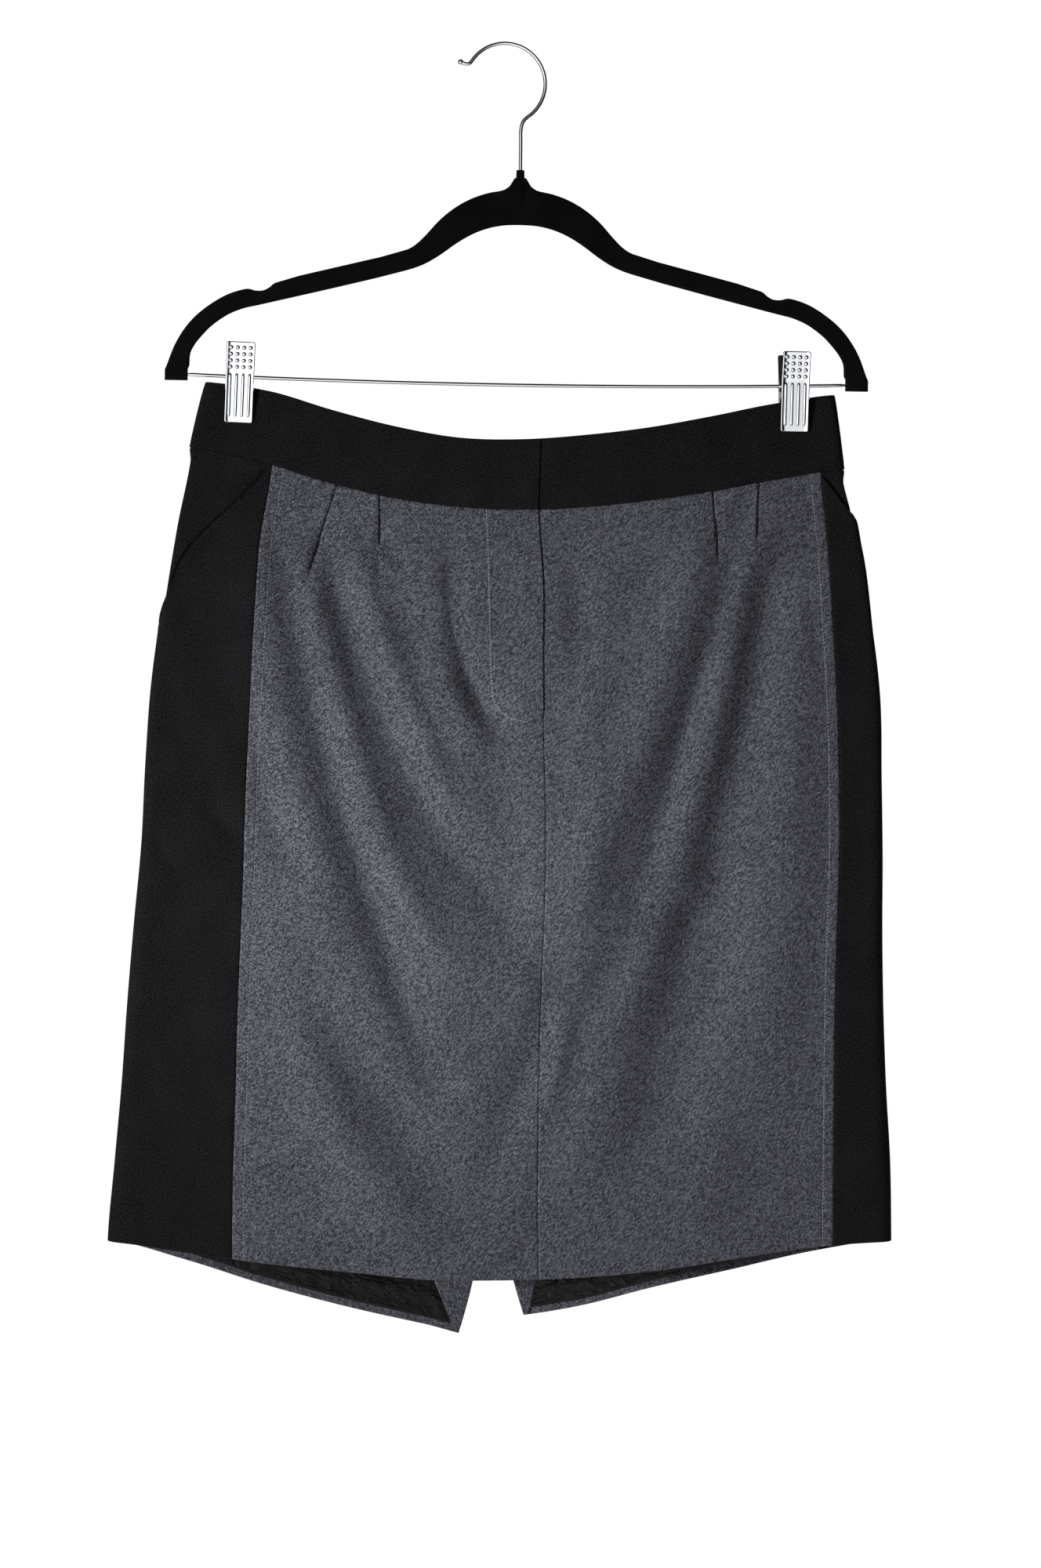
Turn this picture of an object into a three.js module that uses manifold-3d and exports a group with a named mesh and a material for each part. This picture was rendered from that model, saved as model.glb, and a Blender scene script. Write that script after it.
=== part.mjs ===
// A pencil skirt with a grey front and back and black side panels, hung by two clips
// from a flocked hanger. Millimetres, +Z up, the skirt's front towards -Y.
// The origin is the top of the inside of the hook, where a rail carries the hanger.
import * as THREE from "three";
import { mergeVertices } from "three/addons/utils/BufferGeometryUtils.js";
import Module from "manifold-3d";

const wasm = await Module();
wasm.setup();

// Driving dimensions of the cloth
const seamGap = 0.3;
const pocketGap = 0.8;
const clothThickness = 1.6;
const bandThickness = 2.4;
const liningThickness = 1.0;
const layerGap = 0.4;
const skirtLength = 500;
const bandHeight = 42;
const centreBackX = -7.5;

// Side folds of the flattened garment
const foldRadiusAtWaist = 1.8;
const foldRadiusAtHem = 8;
const behindLeftFold = { waist: 5, hem: 6 };
const behindRightFold = { waist: 40, hem: 49 };

// How far each face stands out at its middle
const bellyAtWaist = 8;
const frontBelly = { gain: 15, fullAt: 0.4, loss: 5 };
const backBelly = { gain: 20, fullAt: 0.45, loss: 4 };
const bellyPower = 1.6;
const backSeamDrop = 6;
const backBandDrop = 8;

// Back vent, its facing and the lining's hem
const ventHeight = 150;
const ventSpread = { left: 20.8, right: 21.1 };
const ventSpreadPower = 2.3;
const ventSwing = { left: 4, right: -3 };
const facingWidth = 40;
const facingWidthAtHem = 2.5;
const facingMitre = { left: 50, right: 70 };
const facingTop = 190;
const liningHemRise = 0.8;

// Rows and columns of the walls
const skirtRows = 22;
const yokeRows = 5;
const bandRows = 3;
const frontColumns = 16;
const facingTopRow = 14;
const zipRows = 6;

// Hanger
const hangerTilt = THREE.MathUtils.degToRad(0.6);
const hangerAxisX = 10.3;
const hangerThickness = 5.5;
const hangerBevel = 1.1;
const wireRadius = 1.25;
const hookRadius = 25.6;
const barRadius = 1.2;
const barEndZ = -213.1;
const barSag = 3.5;
const barHalfLength = 215;
const boreClearance = 0.4;
const clipPlaces = { left: -177.2, right: 177.1 };
const clipTurns = { left: 1.6, right: 0.2 };

const wool = new THREE.MeshStandardMaterial({ color: 0x4b4d55, roughness: 0.95, metalness: 0 });
const black = new THREE.MeshStandardMaterial({ color: 0x111112, roughness: 0.9, metalness: 0 });
const satin = new THREE.MeshStandardMaterial({ color: 0x0c0c0d, roughness: 0.35, metalness: 0 });
const flock = new THREE.MeshStandardMaterial({ color: 0x050506, roughness: 1, metalness: 0 });
const chrome = new THREE.MeshStandardMaterial({ color: 0xc8ccd0, roughness: 0.2, metalness: 1 });

// Sections of the skirt from the waist seam down to the hem, evenly spaced. Every entry is
// an X: the two side folds, the two front panel seams and the centre front seam.
const sections = [
  { leftFold: -200.4, leftSeam: -148.8, centre: 20.0, rightSeam: 202.5, rightFold: 216.8 },
  { leftFold: -209.8, leftSeam: -156.6, centre: 22.9, rightSeam: 207.0, rightFold: 228.5 },
  { leftFold: -217.9, leftSeam: -160.3, centre: 22.3, rightSeam: 209.9, rightFold: 235.1 },
  { leftFold: -224.7, leftSeam: -162.8, centre: 22.7, rightSeam: 212.4, rightFold: 240.2 },
  { leftFold: -228.3, leftSeam: -165.3, centre: 23.7, rightSeam: 213.5, rightFold: 241.0 },
  { leftFold: -230.8, leftSeam: -166.8, centre: 23.1, rightSeam: 213.4, rightFold: 241.6 },
  { leftFold: -235.5, leftSeam: -168.8, centre: 21.3, rightSeam: 211.6, rightFold: 241.4 },
  { leftFold: -239.7, leftSeam: -170.8, centre: 19.9, rightSeam: 210.3, rightFold: 242.2 },
  { leftFold: -243.2, leftSeam: -172.0, centre: 19.1, rightSeam: 209.6, rightFold: 243.8 },
  { leftFold: -247.7, leftSeam: -173.6, centre: 18.7, rightSeam: 209.2, rightFold: 246.5 },
  { leftFold: -252.1, leftSeam: -174.2, centre: 19.1, rightSeam: 208.9, rightFold: 247.2 },
];

// Heights across the garment from its left fold to its right one, evenly spaced. Every
// entry is a Z. The back hem is cut in two by the vent, and its left corner hangs lower.
const heights = [
  { bandTop: -216.0, seam: -257.4, frontHem: -760.4, backHemLeft: -760.4, backHemRight: -760.4 },
  { bandTop: -221.8, seam: -265.6, frontHem: -767.3, backHemLeft: -774.5, backHemRight: -774.5 },
  { bandTop: -233.8, seam: -278.6, frontHem: -774.0, backHemLeft: -791.5, backHemRight: -791.5 },
  { bandTop: -244.1, seam: -288.8, frontHem: -778.9, backHemLeft: -806.0, backHemRight: -803.0 },
  { bandTop: -251.0, seam: -294.8, frontHem: -783.8, backHemLeft: -818.2, backHemRight: -813.5 },
  { bandTop: -251.8, seam: -296.7, frontHem: -784.6, backHemLeft: -829.4, backHemRight: -814.6 },
  { bandTop: -248.8, seam: -294.9, frontHem: -783.3, backHemLeft: -818.0, backHemRight: -808.0 },
  { bandTop: -243.8, seam: -290.2, frontHem: -779.4, backHemLeft: -800.0, backHemRight: -795.4 },
  { bandTop: -236.4, seam: -284.0, frontHem: -772.8, backHemLeft: -783.7, backHemRight: -783.7 },
  { bandTop: -228.0, seam: -276.0, frontHem: -766.6, backHemLeft: -771.8, backHemRight: -771.8 },
  { bandTop: -221.8, seam: -269.6, frontHem: -763.9, backHemLeft: -763.9, backHemRight: -763.9 },
];

// The waistband's side folds at its top and at the seam
const bandFolds = { leftTop: -189.9, leftSeam: -200.4, rightTop: 210.3, rightSeam: 216.9 };
const clipPinch = { depth: 0.9, halfWidth: 16, leftX: -169.3, rightX: 185.1 };

// The scooped pocket's edge: how far it drops below the waist seam, by the distance round
// from the front panel's seam
const pocketScoop = [
  { from: 0, drop: 2 },
  { from: 16, drop: 27 },
  { from: 33, drop: 49.5 },
  { from: 48.6, drop: 71 },
  { from: 55, drop: 90 },
  { from: 59.5, drop: 109 },
  { from: 66, drop: 112 },
];

// Soft troughs where the cloth falls from the clips: start, middle and end of each, with
// its half width and depth
const frontCreases = [
  { x0: -148, z0: -275, x1: -87, z1: -538, x2: -21, z2: -709, width: 12.5, depth: 6.5 },
  { x0: -121, z0: -275, x1: -66, z1: -454, x2: 28, z2: -589, width: 17, depth: 8.5 },
  { x0: -84, z0: -340, x1: -12, z1: -445, x2: -4, z2: -624, width: 16, depth: 4.5 },
  { x0: 150, z0: -286, x1: 135, z1: -367, x2: 55, z2: -630, width: 9.5, depth: 4.5 },
  { x0: 164, z0: -323, x1: 149, z1: -434, x2: 71, z2: -682, width: 17, depth: 6.5 },
  { x0: -158, z0: -583, x1: -88, z1: -660, x2: -24, z2: -740, width: 16, depth: 4 },
  { x0: 37, z0: -567, x1: 4, z1: -675, x2: -26, z2: -723, width: 13, depth: 5 },
  { x0: 46, z0: -320, x1: 46, z1: -365, x2: 45, z2: -412, width: 10, depth: 3 },
  { x0: 82, z0: -563, x1: 42, z1: -645, x2: 6, z2: -795, width: 12, depth: 3 },
  { x0: 120, z0: -533, x1: 105, z1: -608, x2: 66, z2: -714, width: 17, depth: 7 },
  { x0: 137, z0: -467, x1: 122, z1: -630, x2: 48, z2: -730, width: 17, depth: 6.5 },
  { x0: 10, z0: -583, x1: 26, z1: -590, x2: 44, z2: -593, width: 6, depth: 2.5 },
  { x0: -160, z0: -415, x1: -144, z1: -500, x2: -112, z2: -535, width: 10.5, depth: 5.5 },
  { x0: -79, z0: -296, x1: -77, z1: -316, x2: -66, z2: -336, width: 6, depth: 2.5 },
  { x0: 152, z0: -696, x1: 126, z1: -732, x2: 119, z2: -770, width: 17, depth: -3 },
  { x0: -135, z0: -275, x1: -91, z1: -481, x2: -14, z2: -608, width: 11.5, depth: -6.5 },
  { x0: -114, z0: -287, x1: -64, z1: -420, x2: -26, z2: -516, width: 9.5, depth: -6.5 },
  { x0: 117, z0: -281, x1: 102, z1: -393, x2: 16, z2: -605, width: 16, depth: -6.5 },
  { x0: 145, z0: -275, x1: 141, z1: -395, x2: 71, z2: -688, width: 17, depth: -6.5 },
  { x0: 179, z0: -323, x1: 181, z1: -507, x2: 156, z2: -747, width: 17, depth: -3 },
  { x0: -158, z0: -275, x1: -146, z1: -439, x2: -77, z2: -649, width: 17, depth: -6 },
  { x0: -152, z0: -529, x1: -100, z1: -700, x2: -25, z2: -765, width: 17, depth: -6 },
  { x0: -41, z0: -310, x1: -32, z1: -410, x2: 8, z2: -472, width: 15, depth: -6 },
  { x0: 53, z0: -355, x1: 51, z1: -500, x2: 44, z2: -605, width: 15.5, depth: -3.5 },
  { x0: 28, z0: -602, x1: 33, z1: -638, x2: 21, z2: -690, width: 7, depth: -2.5 },
  { x0: -50, z0: -634, x1: -15, z1: -628, x2: 13, z2: -618, width: 12, depth: 2.5 },
  { x0: -32, z0: -293, x1: -28, z1: -395, x2: 14, z2: -451, width: 9.5, depth: 5 },
  { x0: -198, z0: -481, x1: -180, z1: -496, x2: -165, z2: -514, width: 7, depth: 2.5 },
];
const backCreases = [
  { x0: -150, z0: -300, x1: -118, z1: -455, x2: -48, z2: -622, width: 11, depth: 5 },
  { x0: -108, z0: -312, x1: -80, z1: -430, x2: -26, z2: -545, width: 10, depth: 3.5 },
  { x0: -182, z0: -420, x1: -152, z1: -565, x2: -98, z2: -722, width: 13, depth: 4 },
  { x0: 168, z0: -306, x1: 134, z1: -468, x2: 62, z2: -640, width: 11, depth: 2.5 },
  { x0: 122, z0: -300, x1: 92, z1: -420, x2: 30, z2: -556, width: 10, depth: 3 },
  { x0: 186, z0: -520, x1: 160, z1: -640, x2: 112, z2: -752, width: 13, depth: 4 },
];
const creaseSteps = 14;
const creaseFade = 14;

// Half of the hanger's outline, as distances from its axis and heights, from the neck out
// along the top, round the end cap and back along the underside
const hangerOutline = [
  { out: 6.8, z: -89.8 },
  { out: 10.5, z: -92.3 },
  { out: 20.5, z: -94.5 },
  { out: 30.5, z: -98 },
  { out: 40.5, z: -103.5 },
  { out: 50.5, z: -111.5 },
  { out: 60.5, z: -122.5 },
  { out: 66, z: -127.8 },
  { out: 72, z: -131.5 },
  { out: 155.5, z: -154.2 },
  { out: 159, z: -157 },
  { out: 163, z: -159.1 },
  { out: 168, z: -159.3 },
  { out: 172, z: -158.3 },
  { out: 176, z: -158.8 },
  { out: 185.5, z: -162 },
  { out: 195.5, z: -167.8 },
  { out: 205.5, z: -175.8 },
  { out: 212.5, z: -184 },
  { out: 218.5, z: -194.8 },
  { out: 222.5, z: -208.8 },
  { out: 224.8, z: -209.6 },
  { out: 224.8, z: -217 },
  { out: 210.2, z: -217 },
  { out: 210.2, z: -209.6 },
  { out: 209.2, z: -207.5 },
  { out: 208.6, z: -199.5 },
  { out: 205.5, z: -193.5 },
  { out: 200.5, z: -187.3 },
  { out: 195.5, z: -182.2 },
  { out: 185.5, z: -175 },
  { out: 175.5, z: -170.7 },
  { out: 165.5, z: -168.3 },
  { out: 72, z: -144.6 },
  { out: 60.5, z: -140.3 },
  { out: 50.5, z: -134.3 },
  { out: 40.5, z: -127 },
  { out: 30.5, z: -121 },
  { out: 20.5, z: -117 },
  { out: 10.5, z: -114.9 },
];
const hangerNeck = [
  { out: 5, z: -86.8 },
  { out: 3.4, z: -84.6 },
];
const sleeve = { radius: 2.6, top: -79.5, bottom: -98, boreBottom: -92.5 };

// A clip's leaf, seen from its side: how far out each bend lies and its height above the bar
const leaf = {
  width: 18,
  thickness: 0.9,
  tip: { out: 4.1, z: -29.5 },
  knee: { out: 8, z: 4 },
  top: { out: 13.5, z: 21 },
};
const ear = { thickness: 0.8, frontInset: 0, backInset: 1.1, holeClearance: 0.6 };
const earOutline = [
  { out: 9.6, z: 10 },
  { out: 3, z: 4.6 },
  { out: -1.6, z: 3.4 },
  { out: -3.2, z: 0 },
  { out: -1.6, z: -3.4 },
  { out: 3, z: -4 },
  { out: 6.4, z: -9 },
  { out: 7, z: -9 },
  { out: 8.4, z: 4 },
];
const rib = { count: 4, width: 1.9, height: 0.6, topZ: 2.5, bottomZ: -27 };
const stud = { rows: 4, radius: 1, height: 0.7, firstZ: 7, pitch: 4 };
const reliefPitch = 4.1;
const spring = { radius: 3.3, halfLength: 6.4 };

const clamp01 = (t) => Math.min(1, Math.max(0, t));
const mix = (a, b, t) => a + (b - a) * t;
const smooth = (t) => clamp01(t) ** 2 * (3 - 2 * clamp01(t));

// One column of an evenly spaced table at a place from 0 to 1 along it, on a smooth curve
// through its rows
function along(table, column, place) {
  const last = table.length - 1;
  const at = clamp01(place) * last;
  const row = Math.min(last - 1, Math.floor(at));
  const t = at - row;
  const [a, b, c, d] = [-1, 0, 1, 2].map(
    (k) => table[Math.min(last, Math.max(0, row + k))][column],
  );
  return b + 0.5 * t * (c - a + t * (2 * a - 5 * b + 4 * c - d + t * (3 * (b - c) + d - a)));
}

// How deep the creases are at a place on a face
function creaseDepth(creases, x, z) {
  let total = 0;
  for (const crease of creases) {
    const { x0, z0, x1, z1, x2, z2, width, depth } = crease;
    let nearest = Infinity;
    let nearestShare = 0;
    let [fromX, fromZ] = [x0, z0];
    for (let step = 1; step <= creaseSteps; step++) {
      const t = step / creaseSteps;
      const [first, middle, last] = [(1 - t) * (1 - 2 * t), 4 * t * (1 - t), t * (2 * t - 1)];
      const [toX, toZ] = [first * x0 + middle * x1 + last * x2, first * z0 + middle * z1 + last * z2];
      const [runX, runZ] = [toX - fromX, toZ - fromZ];
      const share = clamp01(((x - fromX) * runX + (z - fromZ) * runZ) / (runX ** 2 + runZ ** 2));
      const distance = Math.hypot(x - fromX - share * runX, z - fromZ - share * runZ);
      if (distance < nearest) {
        nearest = distance;
        nearestShare = (step - 1 + share) / creaseSteps;
      }
      [fromX, fromZ] = [toX, toZ];
    }
    const taper = smooth(nearestShare * 4) * smooth((1 - nearestShare) * 3);
    total += depth * taper * Math.exp(-((nearest / width) ** 2));
  }
  return total;
}

// A flattened tube's section: its side folds, their radius and how far its faces stand out
function skirtSection(down) {
  const radius = mix(foldRadiusAtWaist, foldRadiusAtHem, smooth(down / 0.8));
  const fall = smooth((down - 0.5) / 0.5);
  return {
    left: along(sections, "leftFold", down),
    right: along(sections, "rightFold", down),
    radius,
    front: bellyAtWaist + frontBelly.gain * smooth(down / frontBelly.fullAt) - frontBelly.loss * fall,
    back: bellyAtWaist + backBelly.gain * smooth(down / backBelly.fullAt) - backBelly.loss * fall,
  };
}
function bandSection(down) {
  return {
    left: mix(bandFolds.leftTop, bandFolds.leftSeam, down ** 0.85),
    right: mix(bandFolds.rightTop, bandFolds.rightSeam, down ** 0.85),
    radius: foldRadiusAtWaist,
    front: bellyAtWaist,
    back: bellyAtWaist,
  };
}
const faceLength = (s) => s.right - s.left - 2 * s.radius + Math.PI * s.radius;
const quarterFold = (s) => (Math.PI * s.radius) / 2;
const lapOfFrontX = (s, x) => (x - s.left - s.radius + quarterFold(s)) / faceLength(s);
const lapOfBackX = (s, x) => 2 - lapOfFrontX(s, x);

// Where a lap lies on a section. A lap is 0 at the left fold, 1 at the right fold and 2 at
// the left fold again, so the front is 0 to 1.
function onSection(s, lap) {
  const wrapped = ((lap % 2) + 2) % 2;
  const front = wrapped < 1;
  const walked = (front ? wrapped : 2 - wrapped) * faceLength(s);
  const left = faceLength(s) - walked;
  const quarter = quarterFold(s);
  let x = s.left + s.radius + walked - quarter;
  let depth = s.radius;
  if (walked < quarter) {
    x = s.left + s.radius * (1 - Math.cos(walked / s.radius));
    depth = s.radius * Math.sin(walked / s.radius);
  } else if (left < quarter) {
    x = s.right - s.radius * (1 - Math.cos(left / s.radius));
    depth = s.radius * Math.sin(left / s.radius);
  }
  const across = (2 * x - s.left - s.right) / (s.right - s.left);
  const bulge = Math.max(0, 1 - across ** 2) ** bellyPower;
  const edgeFade = smooth(Math.min(x - s.left, s.right - x) / creaseFade);
  return { front, x, across, edgeFade, depth: depth + bulge * (front ? s.front : s.back) };
}

const aboveHem = (down) => (1 - down) * skirtLength;
const ventOpen = (down) => clamp01(1 - aboveHem(down) / ventHeight);

// A point of the skirt's middle surface below the waist seam. side is left or right of the
// back vent, and matters only on the back.
function skirtPoint(lap, down, side = "left") {
  const at = onSection(skirtSection(down), lap);
  const place = (at.across + 1) / 2;
  const seam = along(heights, "seam", place);
  if (at.front) {
    const z = mix(seam, along(heights, "frontHem", place), down);
    const y = -at.depth + at.edgeFade * creaseDepth(frontCreases, at.x, z);
    return new THREE.Vector3(at.x, y, z);
  }
  const hem = along(heights, side === "left" ? "backHemLeft" : "backHemRight", place);
  const z = mix(seam - backSeamDrop * (1 - at.across ** 2), hem, down);
  const fromVent = Math.abs(at.x - centreBackX) / facingWidth;
  const swing = ventSwing[side] * ventOpen(down) ** 2 * Math.exp(-fromVent);
  const y = at.depth + swing - at.edgeFade * creaseDepth(backCreases, at.x, z);
  return new THREE.Vector3(at.x, y, z);
}

// A point of the waistband's middle surface, from its top edge down to the seam
function bandPoint(lap, down) {
  const at = onSection(bandSection(down), lap);
  const place = (at.across + 1) / 2;
  const lower = at.front ? 0 : 1 - at.across ** 2;
  const top = along(heights, "bandTop", place) - backBandDrop * lower;
  const seam = along(heights, "seam", place) - backSeamDrop * lower;
  const nearClip = Math.min(Math.abs(at.x - clipPinch.leftX), Math.abs(at.x - clipPinch.rightX));
  const share = Math.exp(-((nearClip / clipPinch.halfWidth) ** 4)) * (1 - smooth(2 * down - 1));
  const depth = at.depth - clipPinch.depth * share;
  return new THREE.Vector3(at.x, at.front ? -depth : depth, mix(top, seam, down));
}

// Middle points and outward normals of a wall, from the laps of its columns and the
// heights of its rows
function gridOf(rowCount, columnCount, placeAt, pointAt) {
  const nudge = { lap: 0.0015, down: 0.001 };
  const rows = [];
  for (let row = 0; row <= rowCount; row++) {
    rows.push([]);
    for (let column = 0; column <= columnCount; column++) {
      const { lap, down } = placeAt(row, column);
      const roundwards = pointAt(lap + nudge.lap, down).sub(pointAt(lap - nudge.lap, down));
      const upper = Math.max(0, down - nudge.down);
      const lower = Math.min(1, down + nudge.down);
      const downwards = pointAt(lap, lower).sub(pointAt(lap, upper));
      const normal = downwards.cross(roundwards).normalize();
      rows[row].push({ point: pointAt(lap, down), normal });
    }
  }
  return rows;
}

// A grid's point and normal at a row and column that need not be whole numbers
function between(grid, row, column) {
  const [row0, column0] = [Math.floor(row), Math.floor(column)];
  const [row1, column1] = [Math.min(grid.length - 1, row0 + 1), Math.min(grid[0].length - 1, column0 + 1)];
  const blend = (key) =>
    grid[row0][column0][key]
      .clone()
      .lerp(grid[row0][column1][key], column - column0)
      .lerp(grid[row1][column0][key].clone().lerp(grid[row1][column1][key], column - column0), row - row0);
  return { point: blend("point"), normal: blend("normal").normalize() };
}
const pick = (grid, rows, columns) => rows.map((row) => columns.map((column) => between(grid, row, column)));

// A closed wall between two offsets from a grid. inner and outer are numbers, or functions
// of the column.
function wall(name, grid, inner, outer, material) {
  const [rowCount, columnCount] = [grid.length, grid[0].length];
  const positions = [];
  const offsetAt = (offset, column) => (typeof offset === "number" ? offset : offset(column));
  for (const offset of [outer, inner])
    for (const row of grid)
      row.forEach(({ point, normal }, column) => {
        const p = point.clone().addScaledVector(normal, offsetAt(offset, column));
        positions.push(p.x, p.y, p.z);
      });
  const at = (row, column) => row * columnCount + column;
  const under = rowCount * columnCount;
  const index = [];
  for (let row = 0; row < rowCount - 1; row++)
    for (let column = 0; column < columnCount - 1; column++) {
      const [a, b] = [at(row, column), at(row, column + 1)];
      const [d, c] = [at(row + 1, column), at(row + 1, column + 1)];
      index.push(a, d, c, a, c, b);
      index.push(under + a, under + c, under + d, under + a, under + b, under + c);
    }
  const rim = [];
  for (let row = 0; row < rowCount - 1; row++) rim.push(at(row, 0));
  for (let column = 0; column < columnCount - 1; column++) rim.push(at(rowCount - 1, column));
  for (let row = rowCount - 1; row > 0; row--) rim.push(at(row, columnCount - 1));
  for (let column = columnCount - 1; column > 0; column--) rim.push(at(0, column));
  rim.forEach((p, i) => {
    const q = rim[(i + 1) % rim.length];
    index.push(p, under + p, under + q, p, under + q, q);
  });
  const geometry = new THREE.BufferGeometry();
  geometry.setAttribute("position", new THREE.Float32BufferAttribute(positions, 3));
  geometry.setIndex(index);
  geometry.computeVertexNormals();
  const mesh = new THREE.Mesh(geometry, material);
  mesh.name = name;
  return mesh;
}

// Laps between a list of marks, with the given number of columns between each two
function lapColumns(marks, counts) {
  const laps = [marks[0]];
  counts.forEach((count, i) => {
    for (let k = 1; k <= count; k++) laps.push(mix(marks[i], marks[i + 1], k / count));
  });
  return laps;
}

// Columns of each panel at a height, half a seam gap in from its own seams
function sideLeftLaps(down) {
  const s = skirtSection(down);
  const length = faceLength(s);
  const behind = mix(behindLeftFold.waist, behindLeftFold.hem, down) - seamGap / 2;
  const seam = lapOfFrontX(s, along(sections, "leftSeam", down) - seamGap / 2);
  return lapColumns([-behind / length, quarterFold(s) / length, seam], [5, 5]);
}
function frontLaps(down, from, to) {
  const s = skirtSection(down);
  const first = lapOfFrontX(s, along(sections, from, down) + seamGap / 2);
  const last = lapOfFrontX(s, along(sections, to, down) - seamGap / 2);
  return lapColumns([first, last], [frontColumns]);
}
function sideRightLaps(down) {
  const s = skirtSection(down);
  const length = faceLength(s);
  const behind = mix(behindRightFold.waist, behindRightFold.hem, down) - seamGap / 2;
  const seam = lapOfFrontX(s, along(sections, "rightSeam", down) + seamGap / 2);
  const quarter = quarterFold(s) / length;
  return lapColumns([seam, 1 - quarter, 1 + quarter, 1 + behind / length], [3, 6, 3]);
}

// How wide the vent's facing is at a height: mitred at the hem and tapered at its top
function facingAt(down, side) {
  const up = aboveHem(down);
  const mitre = mix(facingWidthAtHem, facingWidth, clamp01(up / facingMitre[side]));
  const taper = clamp01((facingTop - up) / (facingTop - ventHeight));
  return Math.max(facingWidthAtHem, Math.min(mitre, facingWidth * taper));
}
function backRightLaps(down) {
  const s = skirtSection(down);
  const behind = mix(behindRightFold.waist, behindRightFold.hem, down) + seamGap / 2;
  const edge = centreBackX + seamGap / 2 + ventSpread.right * ventOpen(down) ** ventSpreadPower;
  const facing = edge + facingAt(down, "right");
  const marks = [1 + behind / faceLength(s), lapOfBackX(s, facing), lapOfBackX(s, edge)];
  return lapColumns(marks, [10, 2]);
}
function backLeftLaps(down) {
  const s = skirtSection(down);
  const length = faceLength(s);
  const behind = mix(behindLeftFold.waist, behindLeftFold.hem, down) + seamGap / 2;
  const turn = Math.max(quarterFold(s), behind) + 1;
  const edge = centreBackX - seamGap / 2 - ventSpread.left * ventOpen(down) ** ventSpreadPower;
  const facing = edge - facingAt(down, "left");
  const marks = [lapOfBackX(s, edge), lapOfBackX(s, facing), 2 - turn / length, 2 - behind / length];
  return lapColumns(marks, [2, 11, 2]);
}

// Rows of a panel that hangs from the waist seam
const topRow = seamGap / 2 / skirtLength;
const evenRow = (row) => mix(topRow, 1, row / skirtRows);
function panelGrid(laps, side) {
  const columnCount = laps(0).length - 1;
  const place = (row, column) => ({ lap: laps(evenRow(row))[column], down: evenRow(row) });
  return gridOf(skirtRows, columnCount, place, (lap, down) => skirtPoint(lap, down, side));
}

// The pocket's edge, as a share of the way down, for a column of a side panel
function scoopAt(laps, seamColumn, column) {
  let down = 0.1;
  for (let pass = 0; pass < 6; pass++) {
    const columns = laps(down);
    const round = Math.abs(columns[column] - columns[seamColumn]) * faceLength(skirtSection(down));
    const from = Math.min(round, pocketScoop.at(-1).from);
    const next = Math.max(1, pocketScoop.findIndex((mark) => mark.from >= from));
    const [a, b] = [pocketScoop[next - 1], pocketScoop[next]];
    down = mix(a.drop, b.drop, (from - a.from) / (b.from - a.from)) / skirtLength;
  }
  return down;
}

// A side panel below the pocket's edge and the yoke above it
function sidePanel(name, laps, seamColumn) {
  const columnCount = laps(0).length - 1;
  const scoops = laps(0).map((_, column) => scoopAt(laps, seamColumn, column));
  const halfPocketGap = pocketGap / 2 / skirtLength;
  const panelPlace = (row, column) => {
    const down = mix(scoops[column] + halfPocketGap, 1, row / skirtRows);
    return { lap: laps(down)[column], down };
  };
  const yokePlace = (row, column) => {
    const down = mix(topRow, scoops[column] - halfPocketGap, row / yokeRows);
    return { lap: laps(down)[column], down };
  };
  const half = clothThickness / 2;
  const panel = gridOf(skirtRows, columnCount, panelPlace, skirtPoint);
  const yoke = gridOf(yokeRows, columnCount, yokePlace, skirtPoint);
  return [
    wall(`side_panel_${name}`, panel, -half, half, black),
    wall(`pocket_yoke_${name}`, yoke, -half, half, black),
  ];
}

// Waistband pieces, on the same columns as the panels that hang from them
function band(name, laps) {
  const last = 1 - seamGap / 2 / bandHeight;
  const place = (row, column) => ({ lap: laps[column], down: mix(0, last, row / bandRows) });
  const grid = gridOf(bandRows, laps.length - 1, place, bandPoint);
  return wall(`waistband_${name}`, grid, -bandThickness / 2, bandThickness / 2, black);
}

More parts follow.
